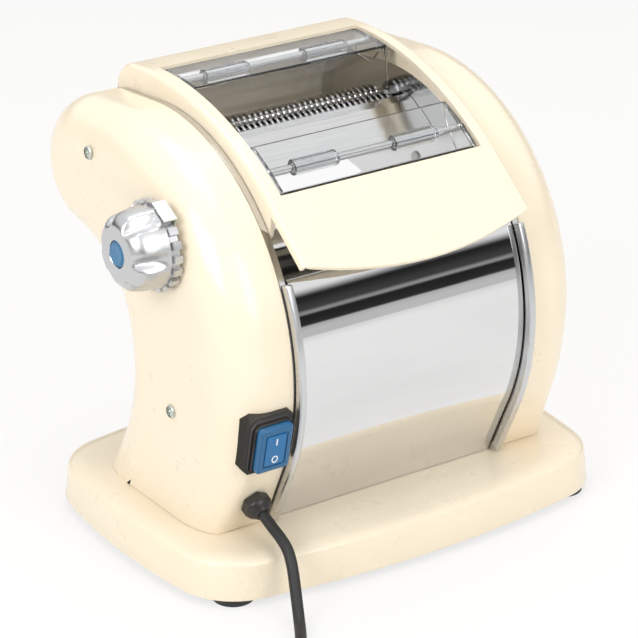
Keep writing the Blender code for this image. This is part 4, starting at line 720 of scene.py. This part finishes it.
def make_frames():
    edge = inset_body_line(FRAME_INSET)
    for name, side in (("left_side_frame", -1), ("right_side_frame", 1)):
        low, high = sorted((side * FRAME_INNER, side * FRAME_OUTER))
        add(name + "_plate", slab(edge, low, high), "polished_steel", "machine", name)


def front_line(z_low, z_high, depth, count):
    step = (z_high - z_low) / (count - 1)
    return [(front_y(z_low + step * i, depth), z_low + step * i) for i in range(count)]


def make_panel():
    line = front_line(FOOT_Z, PANEL_TOP, FIT_GAP, 90)
    run = (Vector(line[-1]) - Vector(line[-2])).normalized()
    centre = Vector(line[-1]) + Vector((run.y, -run.x)) * PANEL_ROLL_RADIUS
    turn = math.atan2(run.x, -run.y)
    line += arc(centre, PANEL_ROLL_RADIUS, turn, turn - PANEL_ROLL_TURN, 24)[1:]
    sheet = bent_sheet(line, -PANEL_THICKNESS, PANEL_HALF)
    add("front_panel_sheet", sheet, "chrome", "machine", "front_panel")
    low = BASE_TOP + TRIM_PROUD * math.sin(FOOT_LEAN) + TRIM_BOTTOM_RISE
    inner = front_line(low, PANEL_TOP, -FIT_GAP, 60)
    edge = inner + offset_line(inner, TRIM_PROUD)[::-1]
    for name, side in (("left_trim", -1), ("right_trim", 1)):
        x_low, x_high = sorted((side * FRAME_OUTER, side * (FRAME_OUTER - TRIM_WIDTH)))
        add(name + "_strip", slab(edge, x_low, x_high), "aluminium", "machine", name, edge=0.0013)


# Hood


def hood_point(y, depth=0.0):
    return y, HOOD_CENTRE[1] + math.sqrt((HOOD_RADIUS - depth) ** 2 - (y - HOOD_CENTRE[0]) ** 2)


def hood_rows():
    """The hood's outer line rear of the lip, as (point, inward normal, wall bottom)."""
    bulge = bulge_centre()
    lap = inset_body_line(HOOD_LAP)

    def wall_bottom(y):
        for (ya, za), (yb, zb) in zip(lap, lap[1:]):
            if ya <= y <= yb:
                return y, za + (zb - za) * (y - ya) / (yb - ya)
        return y, lap[0][1]

    reach = HOOD_RADIUS - HOOD_CORNER_RADIUS
    corner_turn = math.acos((HOOD_REAR_Y - HOOD_CORNER_RADIUS - HOOD_CENTRE[0]) / reach)
    corner = polar(HOOD_CENTRE, reach, corner_turn)
    front = hood_point(OPENING_FRONT_Y)
    rear = hood_point(OPENING_REAR_Y)
    first = math.atan2(front[1] - HOOD_CENTRE[1], front[0] - HOOD_CENTRE[0])
    middle = math.atan2(rear[1] - HOOD_CENTRE[1], rear[0] - HOOD_CENTRE[0])
    line = arc(HOOD_CENTRE, HOOD_RADIUS, first, middle, 40)
    opening_end = len(line) - 1
    line += arc(HOOD_CENTRE, HOOD_RADIUS, middle, corner_turn, 6)[1:]
    line += arc(corner, HOOD_CORNER_RADIUS, corner_turn, 0, 12)[1:]
    seat = bulge[1] + math.sqrt(BULGE_RADIUS**2 - (HOOD_REAR_Y - bulge[0]) ** 2)
    corner_z = line[-1][1]
    line += [(HOOD_REAR_Y, corner_z + (seat + FIT_GAP - corner_z) * share) for share in (0.5, 0.95, 1.0)]
    rows = []
    for point, moved in zip(line, offset_line(line, -1.0)):
        normal = (Vector(moved) - Vector(point)).normalized()
        bottom = Vector(wall_bottom(point[0]))
        rows.append((Vector(point), normal, bottom))
    return rows, opening_end


def cross_section(half, radius, steps=5, columns=12):
    """(x, depth along the normal) across the top and over both soft edges."""
    edge = []
    for i in range(1, steps + 1):
        turn = math.pi / 2 * i / steps
        edge.append((half - radius + radius * math.sin(turn), radius * (1 - math.cos(turn))))
    inner = [OPENING_HALF * (2 * i / columns - 1) for i in range(columns + 1)]
    flat = [-half + radius, *inner, half - radius]
    return [(-x, d) for x, d in reversed(edge)] + [(x, 0.0) for x in flat] + edge


def make_hood():
    rows, opening_end = hood_rows()
    section = cross_section(HOOD_HALF_WIDTH, HOOD_EDGE_RADIUS)
    kink, kink_normal, kink_bottom = rows[0]
    run = Vector((-math.cos(APRON_SLOPE), -math.sin(APRON_SLOPE)))
    normal = Vector((math.sin(APRON_SLOPE), -math.cos(APRON_SLOPE)))
    nose = Vector((front_y(0.2090, -0.0008), 0.2090))
    apron = [1.0, 0.985, 0.95, 0.87, 0.75, 0.6, 0.48, 0.36, 0.27, APRON_WALL / APRON_LENGTH, 0.13, 0.06]
    form = bmesh.new()
    grid = []
    for share in apron:
        row = []
        for x, depth in section:
            length = APRON_LENGTH - (APRON_LENGTH - APRON_SIDE_LENGTH) * (x / HOOD_HALF_WIDTH) ** 2
            point = kink + run * length * share + normal * depth
            row.append((x, *point))
        side_point = kink + run * APRON_SIDE_LENGTH * share + normal * (HOOD_EDGE_RADIUS + HOOD_RETURN)
        if share < APRON_WALL / APRON_LENGTH:
            side_point = nose.lerp(kink_bottom, 1 - share * APRON_LENGTH / APRON_WALL)
        grid.append(row_with_walls(row, side_point))
    for point, inward, bottom in rows:
        row = [(x, *(point + inward * depth)) for x, depth in section]
        grid.append(row_with_walls(row, bottom))
    corners = [[form.verts.new(point) for point in row] for row in grid]
    first_row = len(apron)
    columns = {len(section) // 2 - 6 + 2 + i for i in range(12)}
    for i, (low, high) in enumerate(zip(corners, corners[1:])):
        for j, (a, b, c, d) in enumerate(zip(low, low[1:], high[1:], high)):
            inside = first_row <= i < first_row + opening_end and j in columns
            if not inside:
                form.faces.new((a, b, c, d))
    hood = add("hood_cover", form, "cream_paint", "machine", "hood")
    hood.data.set_sharp_from_angle(angle=math.pi)
    solid = hood.modifiers.new("sheet", "SOLIDIFY")
    solid.thickness = HOOD_SHEET
    solid.offset = -1
    bevel = hood.modifiers.new("edge", "BEVEL")
    bevel.limit_method = "ANGLE"
    bevel.angle_limit = math.radians(50.0)
    bevel.width = 0.0006
    bevel.segments = 3
    hood.modifiers.new("shade", "WEIGHTED_NORMAL")


def row_with_walls(row, bottom):
    """One row of the hood's grid with two more points down each side wall."""
    left, right = Vector(row[0]), Vector(row[-1])
    low_left = Vector((left.x, *bottom))
    low_right = Vector((right.x, *bottom))
    return [low_left, left.lerp(low_left, 0.3), *row, right.lerp(low_right, 0.3), low_right]


# Rollers and cutters


def shaft_of(name):
    """A turned node's axis, as (y, z), and the two ends of its shaft along X."""
    low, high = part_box(name)
    axis = ((low.y + high.y) / 2 - MACHINE.y, (low.z + high.z) / 2)
    return axis, low.x - MACHINE.x, high.x - MACHINE.x


def make_roller(name, body):
    axis, left, right = shaft_of(name)
    profile = [(left, 0), (left, SHAFT_RADIUS), (-ROLLER_HALF, SHAFT_RADIUS)]
    profile += rounded_end(-ROLLER_HALF, ROLLER_RADIUS, ROLLER_EDGE, -1)
    profile += rounded_end(ROLLER_HALF, ROLLER_RADIUS, ROLLER_EDGE, 1)[::-1]
    profile += [(ROLLER_HALF, SHAFT_RADIUS), (right, SHAFT_RADIUS), (right, 0)]
    add(name + "_barrel", turned(profile, axis), "roller_steel", body, name)


def make_cutter(name, body, shift):
    """A cutter's discs; the shift puts one cutter's discs in the other's grooves."""
    axis, left, right = shaft_of(name)
    stop = CUTTER_HALF + CUTTER_PITCH / 2
    bend = CUTTER_DISC * 0.2
    shoulder = CUTTER_RADIUS - bend
    profile = [(left, 0), (left, SHAFT_RADIUS), (-stop, SHAFT_RADIUS), (-stop, CUTTER_GROOVE_RADIUS)]
    for i in range(round(2 * CUTTER_HALF / CUTTER_PITCH)):
        first = -CUTTER_HALF + CUTTER_PITCH * i + shift
        last = first + CUTTER_DISC
        profile += [(first, CUTTER_GROOVE_RADIUS), (first, shoulder), (first + bend, CUTTER_RADIUS)]
        profile += [(last - bend, CUTTER_RADIUS), (last, shoulder), (last, CUTTER_GROOVE_RADIUS)]
    profile += [(stop, CUTTER_GROOVE_RADIUS), (stop, SHAFT_RADIUS), (right, SHAFT_RADIUS), (right, 0)]
    add(name + "_discs", turned(profile, axis, CUTTER_STEPS), "roller_steel", body, name)


# Knob


def knob_ring(x, radius, scallop):
    ring = []
    for i in range(KNOB_RING_POINTS):
        turn = 2 * math.pi * i / KNOB_RING_POINTS
        hollow = max(0, math.cos(KNOB_SCALLOPS * turn)) ** 1.5
        ring.append((x, *polar(KNOB_AXIS, radius - scallop * hollow, turn)))
    return ring


def eased(pairs, count):
    """Rows of shares between the given ones, on a Catmull-Rom curve."""
    return smooth_route([Vector(pair) for pair in pairs], count)


def make_knob():
    rim = -HOUSING_OUTER - KNOB_STAND_OFF
    back = rim - KNOB_RIM_WIDTH - FIT_GAP
    face = back - KNOB_LENGTH
    rings = [knob_ring(back, KNOB_FACE_RADIUS, 0)]
    for length_share, radius_share, scallop_share in eased(KNOB_SHARES, 3):
        radius = KNOB_FACE_RADIUS + (KNOB_SHOULDER_RADIUS - KNOB_FACE_RADIUS) * radius_share
        scallop = KNOB_SCALLOP_DEPTH * max(0, scallop_share)
        rings.append(knob_ring(back - KNOB_LENGTH * length_share, radius, scallop))
    rings.append(knob_ring(face, KNOB_FACE_RADIUS - 0.0015, 0.0004))
    rings.append(knob_ring(face, KNOB_BORE_RADIUS + 0.0004, 0))
    rings.append(knob_ring(face + 0.0004, KNOB_BORE_RADIUS, 0))
    rings.append(knob_ring(face + KNOB_BORE_DEPTH, KNOB_BORE_RADIUS, 0))
    add("knob_shell", lofted(rings), "satin_silver", "adjuster_knob", "knob_body")
    profile = [(face + KNOB_BORE_DEPTH, 0), (face + KNOB_BORE_DEPTH, KNOB_BORE_RADIUS - 0.0002)]
    profile += rounded_end(face + 0.0002, KNOB_BORE_RADIUS - 0.0002, 0.0010, -1)
    for lift, share in ((0.0006, 0.80), (0.0004, 0.5), (0.0002, 0)):
        profile.append((face - lift, KNOB_BORE_RADIUS * share))
    add("knob_button", turned(profile, KNOB_AXIS), "knob_blue", "adjuster_knob", "knob_cap")
    make_notched_ring(rim)


def make_notched_ring(rim):
    pitch = 2 * math.pi / NOTCH_COUNT
    floor = KNOB_RIM_RADIUS - NOTCH_DEPTH
    radii = (floor, KNOB_RIM_RADIUS, KNOB_RIM_RADIUS, KNOB_RIM_RADIUS, floor, floor)
    outer = []
    inner = []
    for i in range(NOTCH_COUNT):
        for share, radius in zip(NOTCH_SHARES, radii):
            outer.append(polar(KNOB_AXIS, radius, pitch * (i + share)))
            inner.append(polar(KNOB_AXIS, KNOB_FACE_RADIUS, pitch * (i + share)))
    front = rim - KNOB_RIM_WIDTH
    edges = ((outer, front), (outer, rim), (inner, rim), (inner, front))
    rings = [[(x, *point) for point in ring] for ring, x in edges]
    add("knob_notched_ring", lofted(rings, caps=False), "satin_silver", "adjuster_knob", "knob_index_ring")


# Switch and gland


def rounded_rectangle(width, height, radius, steps=6):
    points = []
    for x, y, first in ((1, 1, 0), (-1, 1, 1), (-1, -1, 2), (1, -1, 3)):
        corner = (x * (width / 2 - radius), y * (height / 2 - radius))
        points += arc(corner, radius, first * math.pi / 2, (first + 1) * math.pi / 2, steps)
    return points


def layered(levels):
    """A form through flat outlines, each (outline, height along the local out axis)."""
    return lofted([[(x, y, z) for x, y in outline] for outline, z in levels])


def make_switch():
    place = front_place(SWITCH_X, SWITCH_Z)
    make_bezel(place)
    make_rocker(place)
    make_marks(place)


def bezel_octagon(grow):
    across, up = BEZEL_WIDTH / 2 + grow, BEZEL_HEIGHT / 2 + grow
    corners = [(across, up - BEZEL_CHAMFER), (across - BEZEL_CHAMFER, up)]
    corners += [(BEZEL_CHAMFER - across, up), (-across, up - BEZEL_CHAMFER)]
    return corners + [(-x, -y) for x, y in corners]


def make_bezel(place):
    window = rounded_rectangle(ROCKER_WIDTH + 0.0012, ROCKER_HEIGHT + 0.0016, 0.0020, 2)
    rim = rounded_rectangle(BEZEL_WIDTH - 0.0056, BEZEL_HEIGHT - 0.0060, 0.0030, 2)
    top = rounded_rectangle(BEZEL_WIDTH - 0.0068, BEZEL_HEIGHT - 0.0072, 0.0026, 2)
    levels = [(bezel_octagon(0), -0.0090), (bezel_octagon(0), 0.0012), (bezel_octagon(-0.0006), 0.0018)]
    levels += [(rim, 0.0024), (rim, BEZEL_DEPTH - 0.0006), (top, BEZEL_DEPTH)]
    levels += [(window, BEZEL_DEPTH), (window, -0.0080)]
    add("switch_frame", layered(levels), "black_plastic", "machine", "switch_bezel", place=place, edge=0.0003)


def rocker_outline(narrower, shorter, corner):
    return rounded_rectangle(ROCKER_WIDTH - narrower, ROCKER_HEIGHT - shorter, corner)


def make_rocker(place):
    """The soft boot with its sunk window, and the rocker's face in the window."""
    shoulder = ROCKER_PROUD - 0.0022
    full = rocker_outline(0, 0, ROCKER_CORNER_RADIUS)
    boot = [(full, -0.0050), (full, shoulder)]
    for i in range(1, ROCKER_EDGE_STEPS + 1):
        turn = math.pi / 2 * i / ROCKER_EDGE_STEPS
        grow = 2 * (ROCKER_EDGE_RADIUS * (1 - math.cos(turn)))
        outline = rocker_outline(grow, grow, ROCKER_CORNER_RADIUS)
        boot.append((outline, shoulder + ROCKER_EDGE_RADIUS * math.sin(turn)))
    boot.append((rocker_outline(0.0070, 0.0076, 0.0010), ROCKER_PROUD - 0.0006))
    boot.append((rocker_outline(0.0074, 0.0080, 0.0010), ROCKER_PROUD - 0.0012))
    add("rocker_hood", layered(boot), "blue_plastic", "rocker", "switch_rocker", place=place)
    wide = rocker_outline(0.0088, 0.0094, 0.0010)
    narrow = rocker_outline(0.0096, 0.0102, 0.0008)
    face = [(wide, ROCKER_PROUD - 0.0013), (wide, ROCKER_PROUD - 0.0006), (narrow, ROCKER_PROUD - 0.0003)]
    add("rocker_face", layered(face), "bright_blue", "rocker", place=place)


def make_marks(place):
    low, high = ROCKER_PROUD - 0.0005, ROCKER_PROUD - 0.0001
    bar = [(x, y + MARK_ON_HEIGHT) for x, y in rounded_rectangle(0.0008, 0.0046, 0.0003, 3)]
    add("mark_on", layered([(bar, low), (bar, high)]), "mark_white", "rocker", place=place)
    across, up = MARK_OFF_RADII
    turns = [2 * math.pi * i / 40 for i in range(40)]
    rings = []
    for share, height in ((1.0, low), (1.0, high), (MARK_OFF_HOLE, high), (MARK_OFF_HOLE, low)):
        ring = []
        for turn in turns:
            x = across * share * math.cos(turn)
            y = up * share * math.sin(turn) + MARK_OFF_HEIGHT
            ring.append((x, y, height))
        rings.append(ring)
    add("mark_off", lofted(rings, caps=False), "mark_white", "rocker", place=place)


def make_gland():
    place = front_place(GLAND_X, GLAND_Z) @ Matrix.Rotation(-math.pi / 2, 4, "Y")
    bore = CORD_RADIUS + 0.0001
    profile = [(-0.0080, bore), (-0.0080, GLAND_NECK_RADIUS), (0.0058, GLAND_NECK_RADIUS)]
    profile += [(0.0058, 0.0084), (0.0066, 0.0082), (0.0080, 0.0074), (0.0092, 0.0062), (0.0104, 0.0050)]
    profile += [(GLAND_LENGTH, 0.0044), (GLAND_LENGTH, bore)]
    nose = turned(profile, steps=48, ring=True)
    add("gland_nose", nose, "black_plastic", "machine", "cord_gland", place=place)
    low, high = FIT_GAP, 0.0062
    hexagon = [polar((0, 0), 0.0090, math.pi / 3 * i) for i in range(6)]
    hole = [polar((0, 0), 0.0060, math.pi / 3 * i) for i in range(6)]
    edges = ((hexagon, low), (hexagon, high), (hole, high), (hole, low))
    rings = [[(x, *p) for p in ring] for ring, x in edges]
    add("gland_nut", lofted(rings, caps=False), "black_plastic", "machine", place=place, edge=0.0008)


# Sheets inside and at the rear


def make_sheets():
    half = FRAME_INNER - FIT_GAP
    radius = BULGE_RADIUS - 0.0030
    first = math.acos((HOOD_REAR_Y + 0.0008 - bulge_centre()[0]) / radius)
    line = arc(bulge_centre(), radius, first, BULGE_END, 48)
    add("rear_cover_sheet", bent_sheet(line, -0.0010, half), "cream_paint", "machine", "rear_cover")
    neck = inset_body_line(0.0030, 0.0010)[-2 * NECK_POINTS + 2:]
    add("rear_panel_sheet", bent_sheet(neck, -0.0010, half), "chrome", "machine", "rear_panel")


# Guards


def make_guard(name, front, rear, pin_y, skirt):
    count = 24
    pin = hood_point(pin_y, 0.0058)
    line = [hood_point(front + (rear - front) * i / (count - 1), 0.0012) for i in range(count)]
    if skirt:
        line.insert(0, (line[0][0] - 0.0030, line[0][1] - 0.0260))
    body = name + "_flap"
    add(name + "_sheet", bent_sheet(line, -0.0022, 0.0685), "clear_plastic", body, name, edge=0.0006)
    top = [p for p in offset_line(line, -0.0011) if p[0] > front]
    lower = [(rear - 0.0040, top[-1][1] - 0.0130), (pin_y - 0.0040, top[0][1] - 0.0130)]
    for side, word in ((-1, "left"), (1, "right")):
        low, high = sorted((side * 0.0680, side * 0.0658))
        add(f"{name}_{word}_end", slab(top + lower, low, high), "clear_plastic", body, edge=0.0006)
        low, high = sorted((side * 0.0200, side * 0.0500))
        rings = [(high, 0.0023), (high, 0.0048), (low, 0.0048), (low, 0.0023)]
        add(f"{name}_{word}_lug", turned(rings, pin, 32, ring=True), "clear_plastic", body, edge=0.0004)


def make_guards():
    make_guard("front_guard", -0.0530, -0.0220, -0.0360, False)
    make_guard("rear_guard", 0.0380, 0.0700, 0.0560, True)


make_base()
make_housing(-1, "left_housing")
make_housing(1, "right_housing")
make_screws()
make_frames()
make_panel()
make_hood()
make_roller("fixed_roller", "fixed_roller_set")
make_roller("adjustable_roller", "adjustable_roller_set")
make_cutter("front_cutter", "front_cutter_set", 0)
make_cutter("rear_cutter", "rear_cutter_set", CUTTER_PITCH / 2)
make_knob()
make_switch()
make_gland()
make_sheets()
make_guards()


# CAD nodes that stay in view

NODE_LOOKS = {
    "base_plate": "dark_steel", "front_tie_rod": "zinc", "rear_tie_rod": "zinc", "upper_tie_rod": "zinc",
    "front_guard_pin": "polished_steel", "rear_guard_pin": "polished_steel", "main_gear_pin": "zinc",
    "idler_gear_pin": "zinc", "gear_case": "dark_steel", "motor_can": "zinc", "index_bracket": "zinc",
    "switch_body": "black_plastic", "cord_tie": "black_plastic", "plug_body": "black_rubber",
    "front_chute": "polished_steel", "cutter_cover": "polished_steel", "drive_gear": "dark_steel",
    "left_bearing_block": "bronze", "right_bearing_block": "bronze", "adjustable_roller_gear": "dark_steel",
    "front_cutter_gear": "dark_steel", "rear_cutter_gear": "dark_steel", "main_gear": "white_nylon",
    "idler_gear": "white_nylon", "pinion_shaft": "polished_steel", "knob_shaft": "zinc",
    "knob_spring": "polished_steel",
}
for node, look in NODE_LOOKS.items():
    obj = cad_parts[node]
    obj.data.materials.clear()
    obj.data.materials.append(LOOKS[look])


# Floor, light and background


def make_floor():
    form = bmesh.new()
    bmesh.ops.create_grid(form, x_segments=1, y_segments=1, size=3.0)
    mesh = bpy.data.meshes.new("floor")
    form.to_mesh(mesh)
    form.free()
    floor = bpy.data.objects.new("floor", mesh)
    bpy.context.scene.collection.objects.link(floor)
    made = bpy.data.materials.new("floor")
    made.use_nodes = True
    tree = made.node_tree
    tree.nodes.clear()
    matt = tree.nodes.new("ShaderNodeBsdfDiffuse")
    matt.inputs["Color"].default_value = (0.86, 0.85, 0.83, 1)
    glow = tree.nodes.new("ShaderNodeEmission")
    blend = tree.nodes.new("ShaderNodeMixShader")
    share = tree.nodes.new("ShaderNodeMath")
    share.operation = "MULTIPLY"
    share.inputs[1].default_value = 0.72
    out = tree.nodes.new("ShaderNodeOutputMaterial")
    tree.links.new(seen_rays(tree), share.inputs[0])
    tree.links.new(share.outputs[0], blend.inputs[0])
    tree.links.new(matt.outputs[0], blend.inputs[1])
    tree.links.new(glow.outputs[0], blend.inputs[2])
    tree.links.new(blend.outputs[0], out.inputs["Surface"])
    mesh.materials.append(made)


def seen_rays(tree):
    """1 for camera, glossy and transmission rays."""
    path = tree.nodes.new("ShaderNodeLightPath")
    result = path.outputs["Is Camera Ray"]
    for name in ("Is Glossy Ray", "Is Transmission Ray"):
        both = tree.nodes.new("ShaderNodeMath")
        both.operation = "MAXIMUM"
        tree.links.new(result, both.inputs[0])
        tree.links.new(path.outputs[name], both.inputs[1])
        result = both.outputs[0]
    return result


# Heights and tones of the studio that the metal shows, as shares of a level ray's rise
STUDIO_BANDS = (
    (0.0, 0.62), (0.035, 0.55), (0.05, 0.03), (0.12, 0.02), (0.14, 0.35), (0.17, 0.06), (0.26, 0.02),
    (0.33, 0.95), (1.0, 1.0),
)


def make_world():
    world = bpy.data.worlds.new("studio")
    bpy.context.scene.world = world
    world.use_nodes = True
    tree = world.node_tree
    tree.nodes.clear()
    ambient = tree.nodes.new("ShaderNodeBackground")
    ambient.inputs["Color"].default_value = (1.0, 0.985, 0.96, 1)
    ambient.inputs["Strength"].default_value = 0.62
    white = tree.nodes.new("ShaderNodeBackground")
    white.inputs["Strength"].default_value = 1.0
    coordinates = tree.nodes.new("ShaderNodeTexCoord")
    parts = tree.nodes.new("ShaderNodeSeparateXYZ")
    bands = tree.nodes.new("ShaderNodeValToRGB")
    bands.color_ramp.interpolation = "EASE"
    while len(bands.color_ramp.elements) < len(STUDIO_BANDS):
        bands.color_ramp.elements.new(1.0)
    for element, (height, tone) in zip(bands.color_ramp.elements, STUDIO_BANDS):
        element.position = height
        element.color = (tone, tone, tone, 1)
    path = tree.nodes.new("ShaderNodeLightPath")
    pick = tree.nodes.new("ShaderNodeMix")
    pick.data_type = "RGBA"
    pick.inputs["A"].default_value = (1, 1, 1, 1)
    tree.links.new(coordinates.outputs["Generated"], parts.inputs[0])
    tree.links.new(parts.outputs["Z"], bands.inputs["Fac"])
    tree.links.new(path.outputs["Is Glossy Ray"], pick.inputs["Factor"])
    tree.links.new(bands.outputs["Color"], pick.inputs[7])
    tree.links.new(pick.outputs[2], white.inputs["Color"])
    blend = tree.nodes.new("ShaderNodeMixShader")
    out = tree.nodes.new("ShaderNodeOutputWorld")
    tree.links.new(seen_rays(tree), blend.inputs[0])
    tree.links.new(ambient.outputs[0], blend.inputs[1])
    tree.links.new(white.outputs[0], blend.inputs[2])
    tree.links.new(blend.outputs[0], out.inputs["Surface"])


def softbox(name, place, size, power):
    """A square lamp that faces the machine."""
    data = bpy.data.lights.new(name, "AREA")
    data.size = size
    data.energy = power
    lamp = bpy.data.objects.new(name, data)
    lamp.location = place
    lamp.rotation_euler = (Vector((0, 0, 0.12)) - Vector(place)).to_track_quat("-Z", "Y").to_euler()
    bpy.context.scene.collection.objects.link(lamp)


make_floor()
make_world()
softbox("left_lamp", (-1.6, -0.5, 1.1), 0.9, 14.0)
softbox("front_lamp", (0.2, -1.9, 1.2), 1.1, 14.0)
softbox("top_lamp", (0.1, 0.2, 1.9), 1.2, 12.0)
bpy.context.scene.view_settings.view_transform = "Standard"
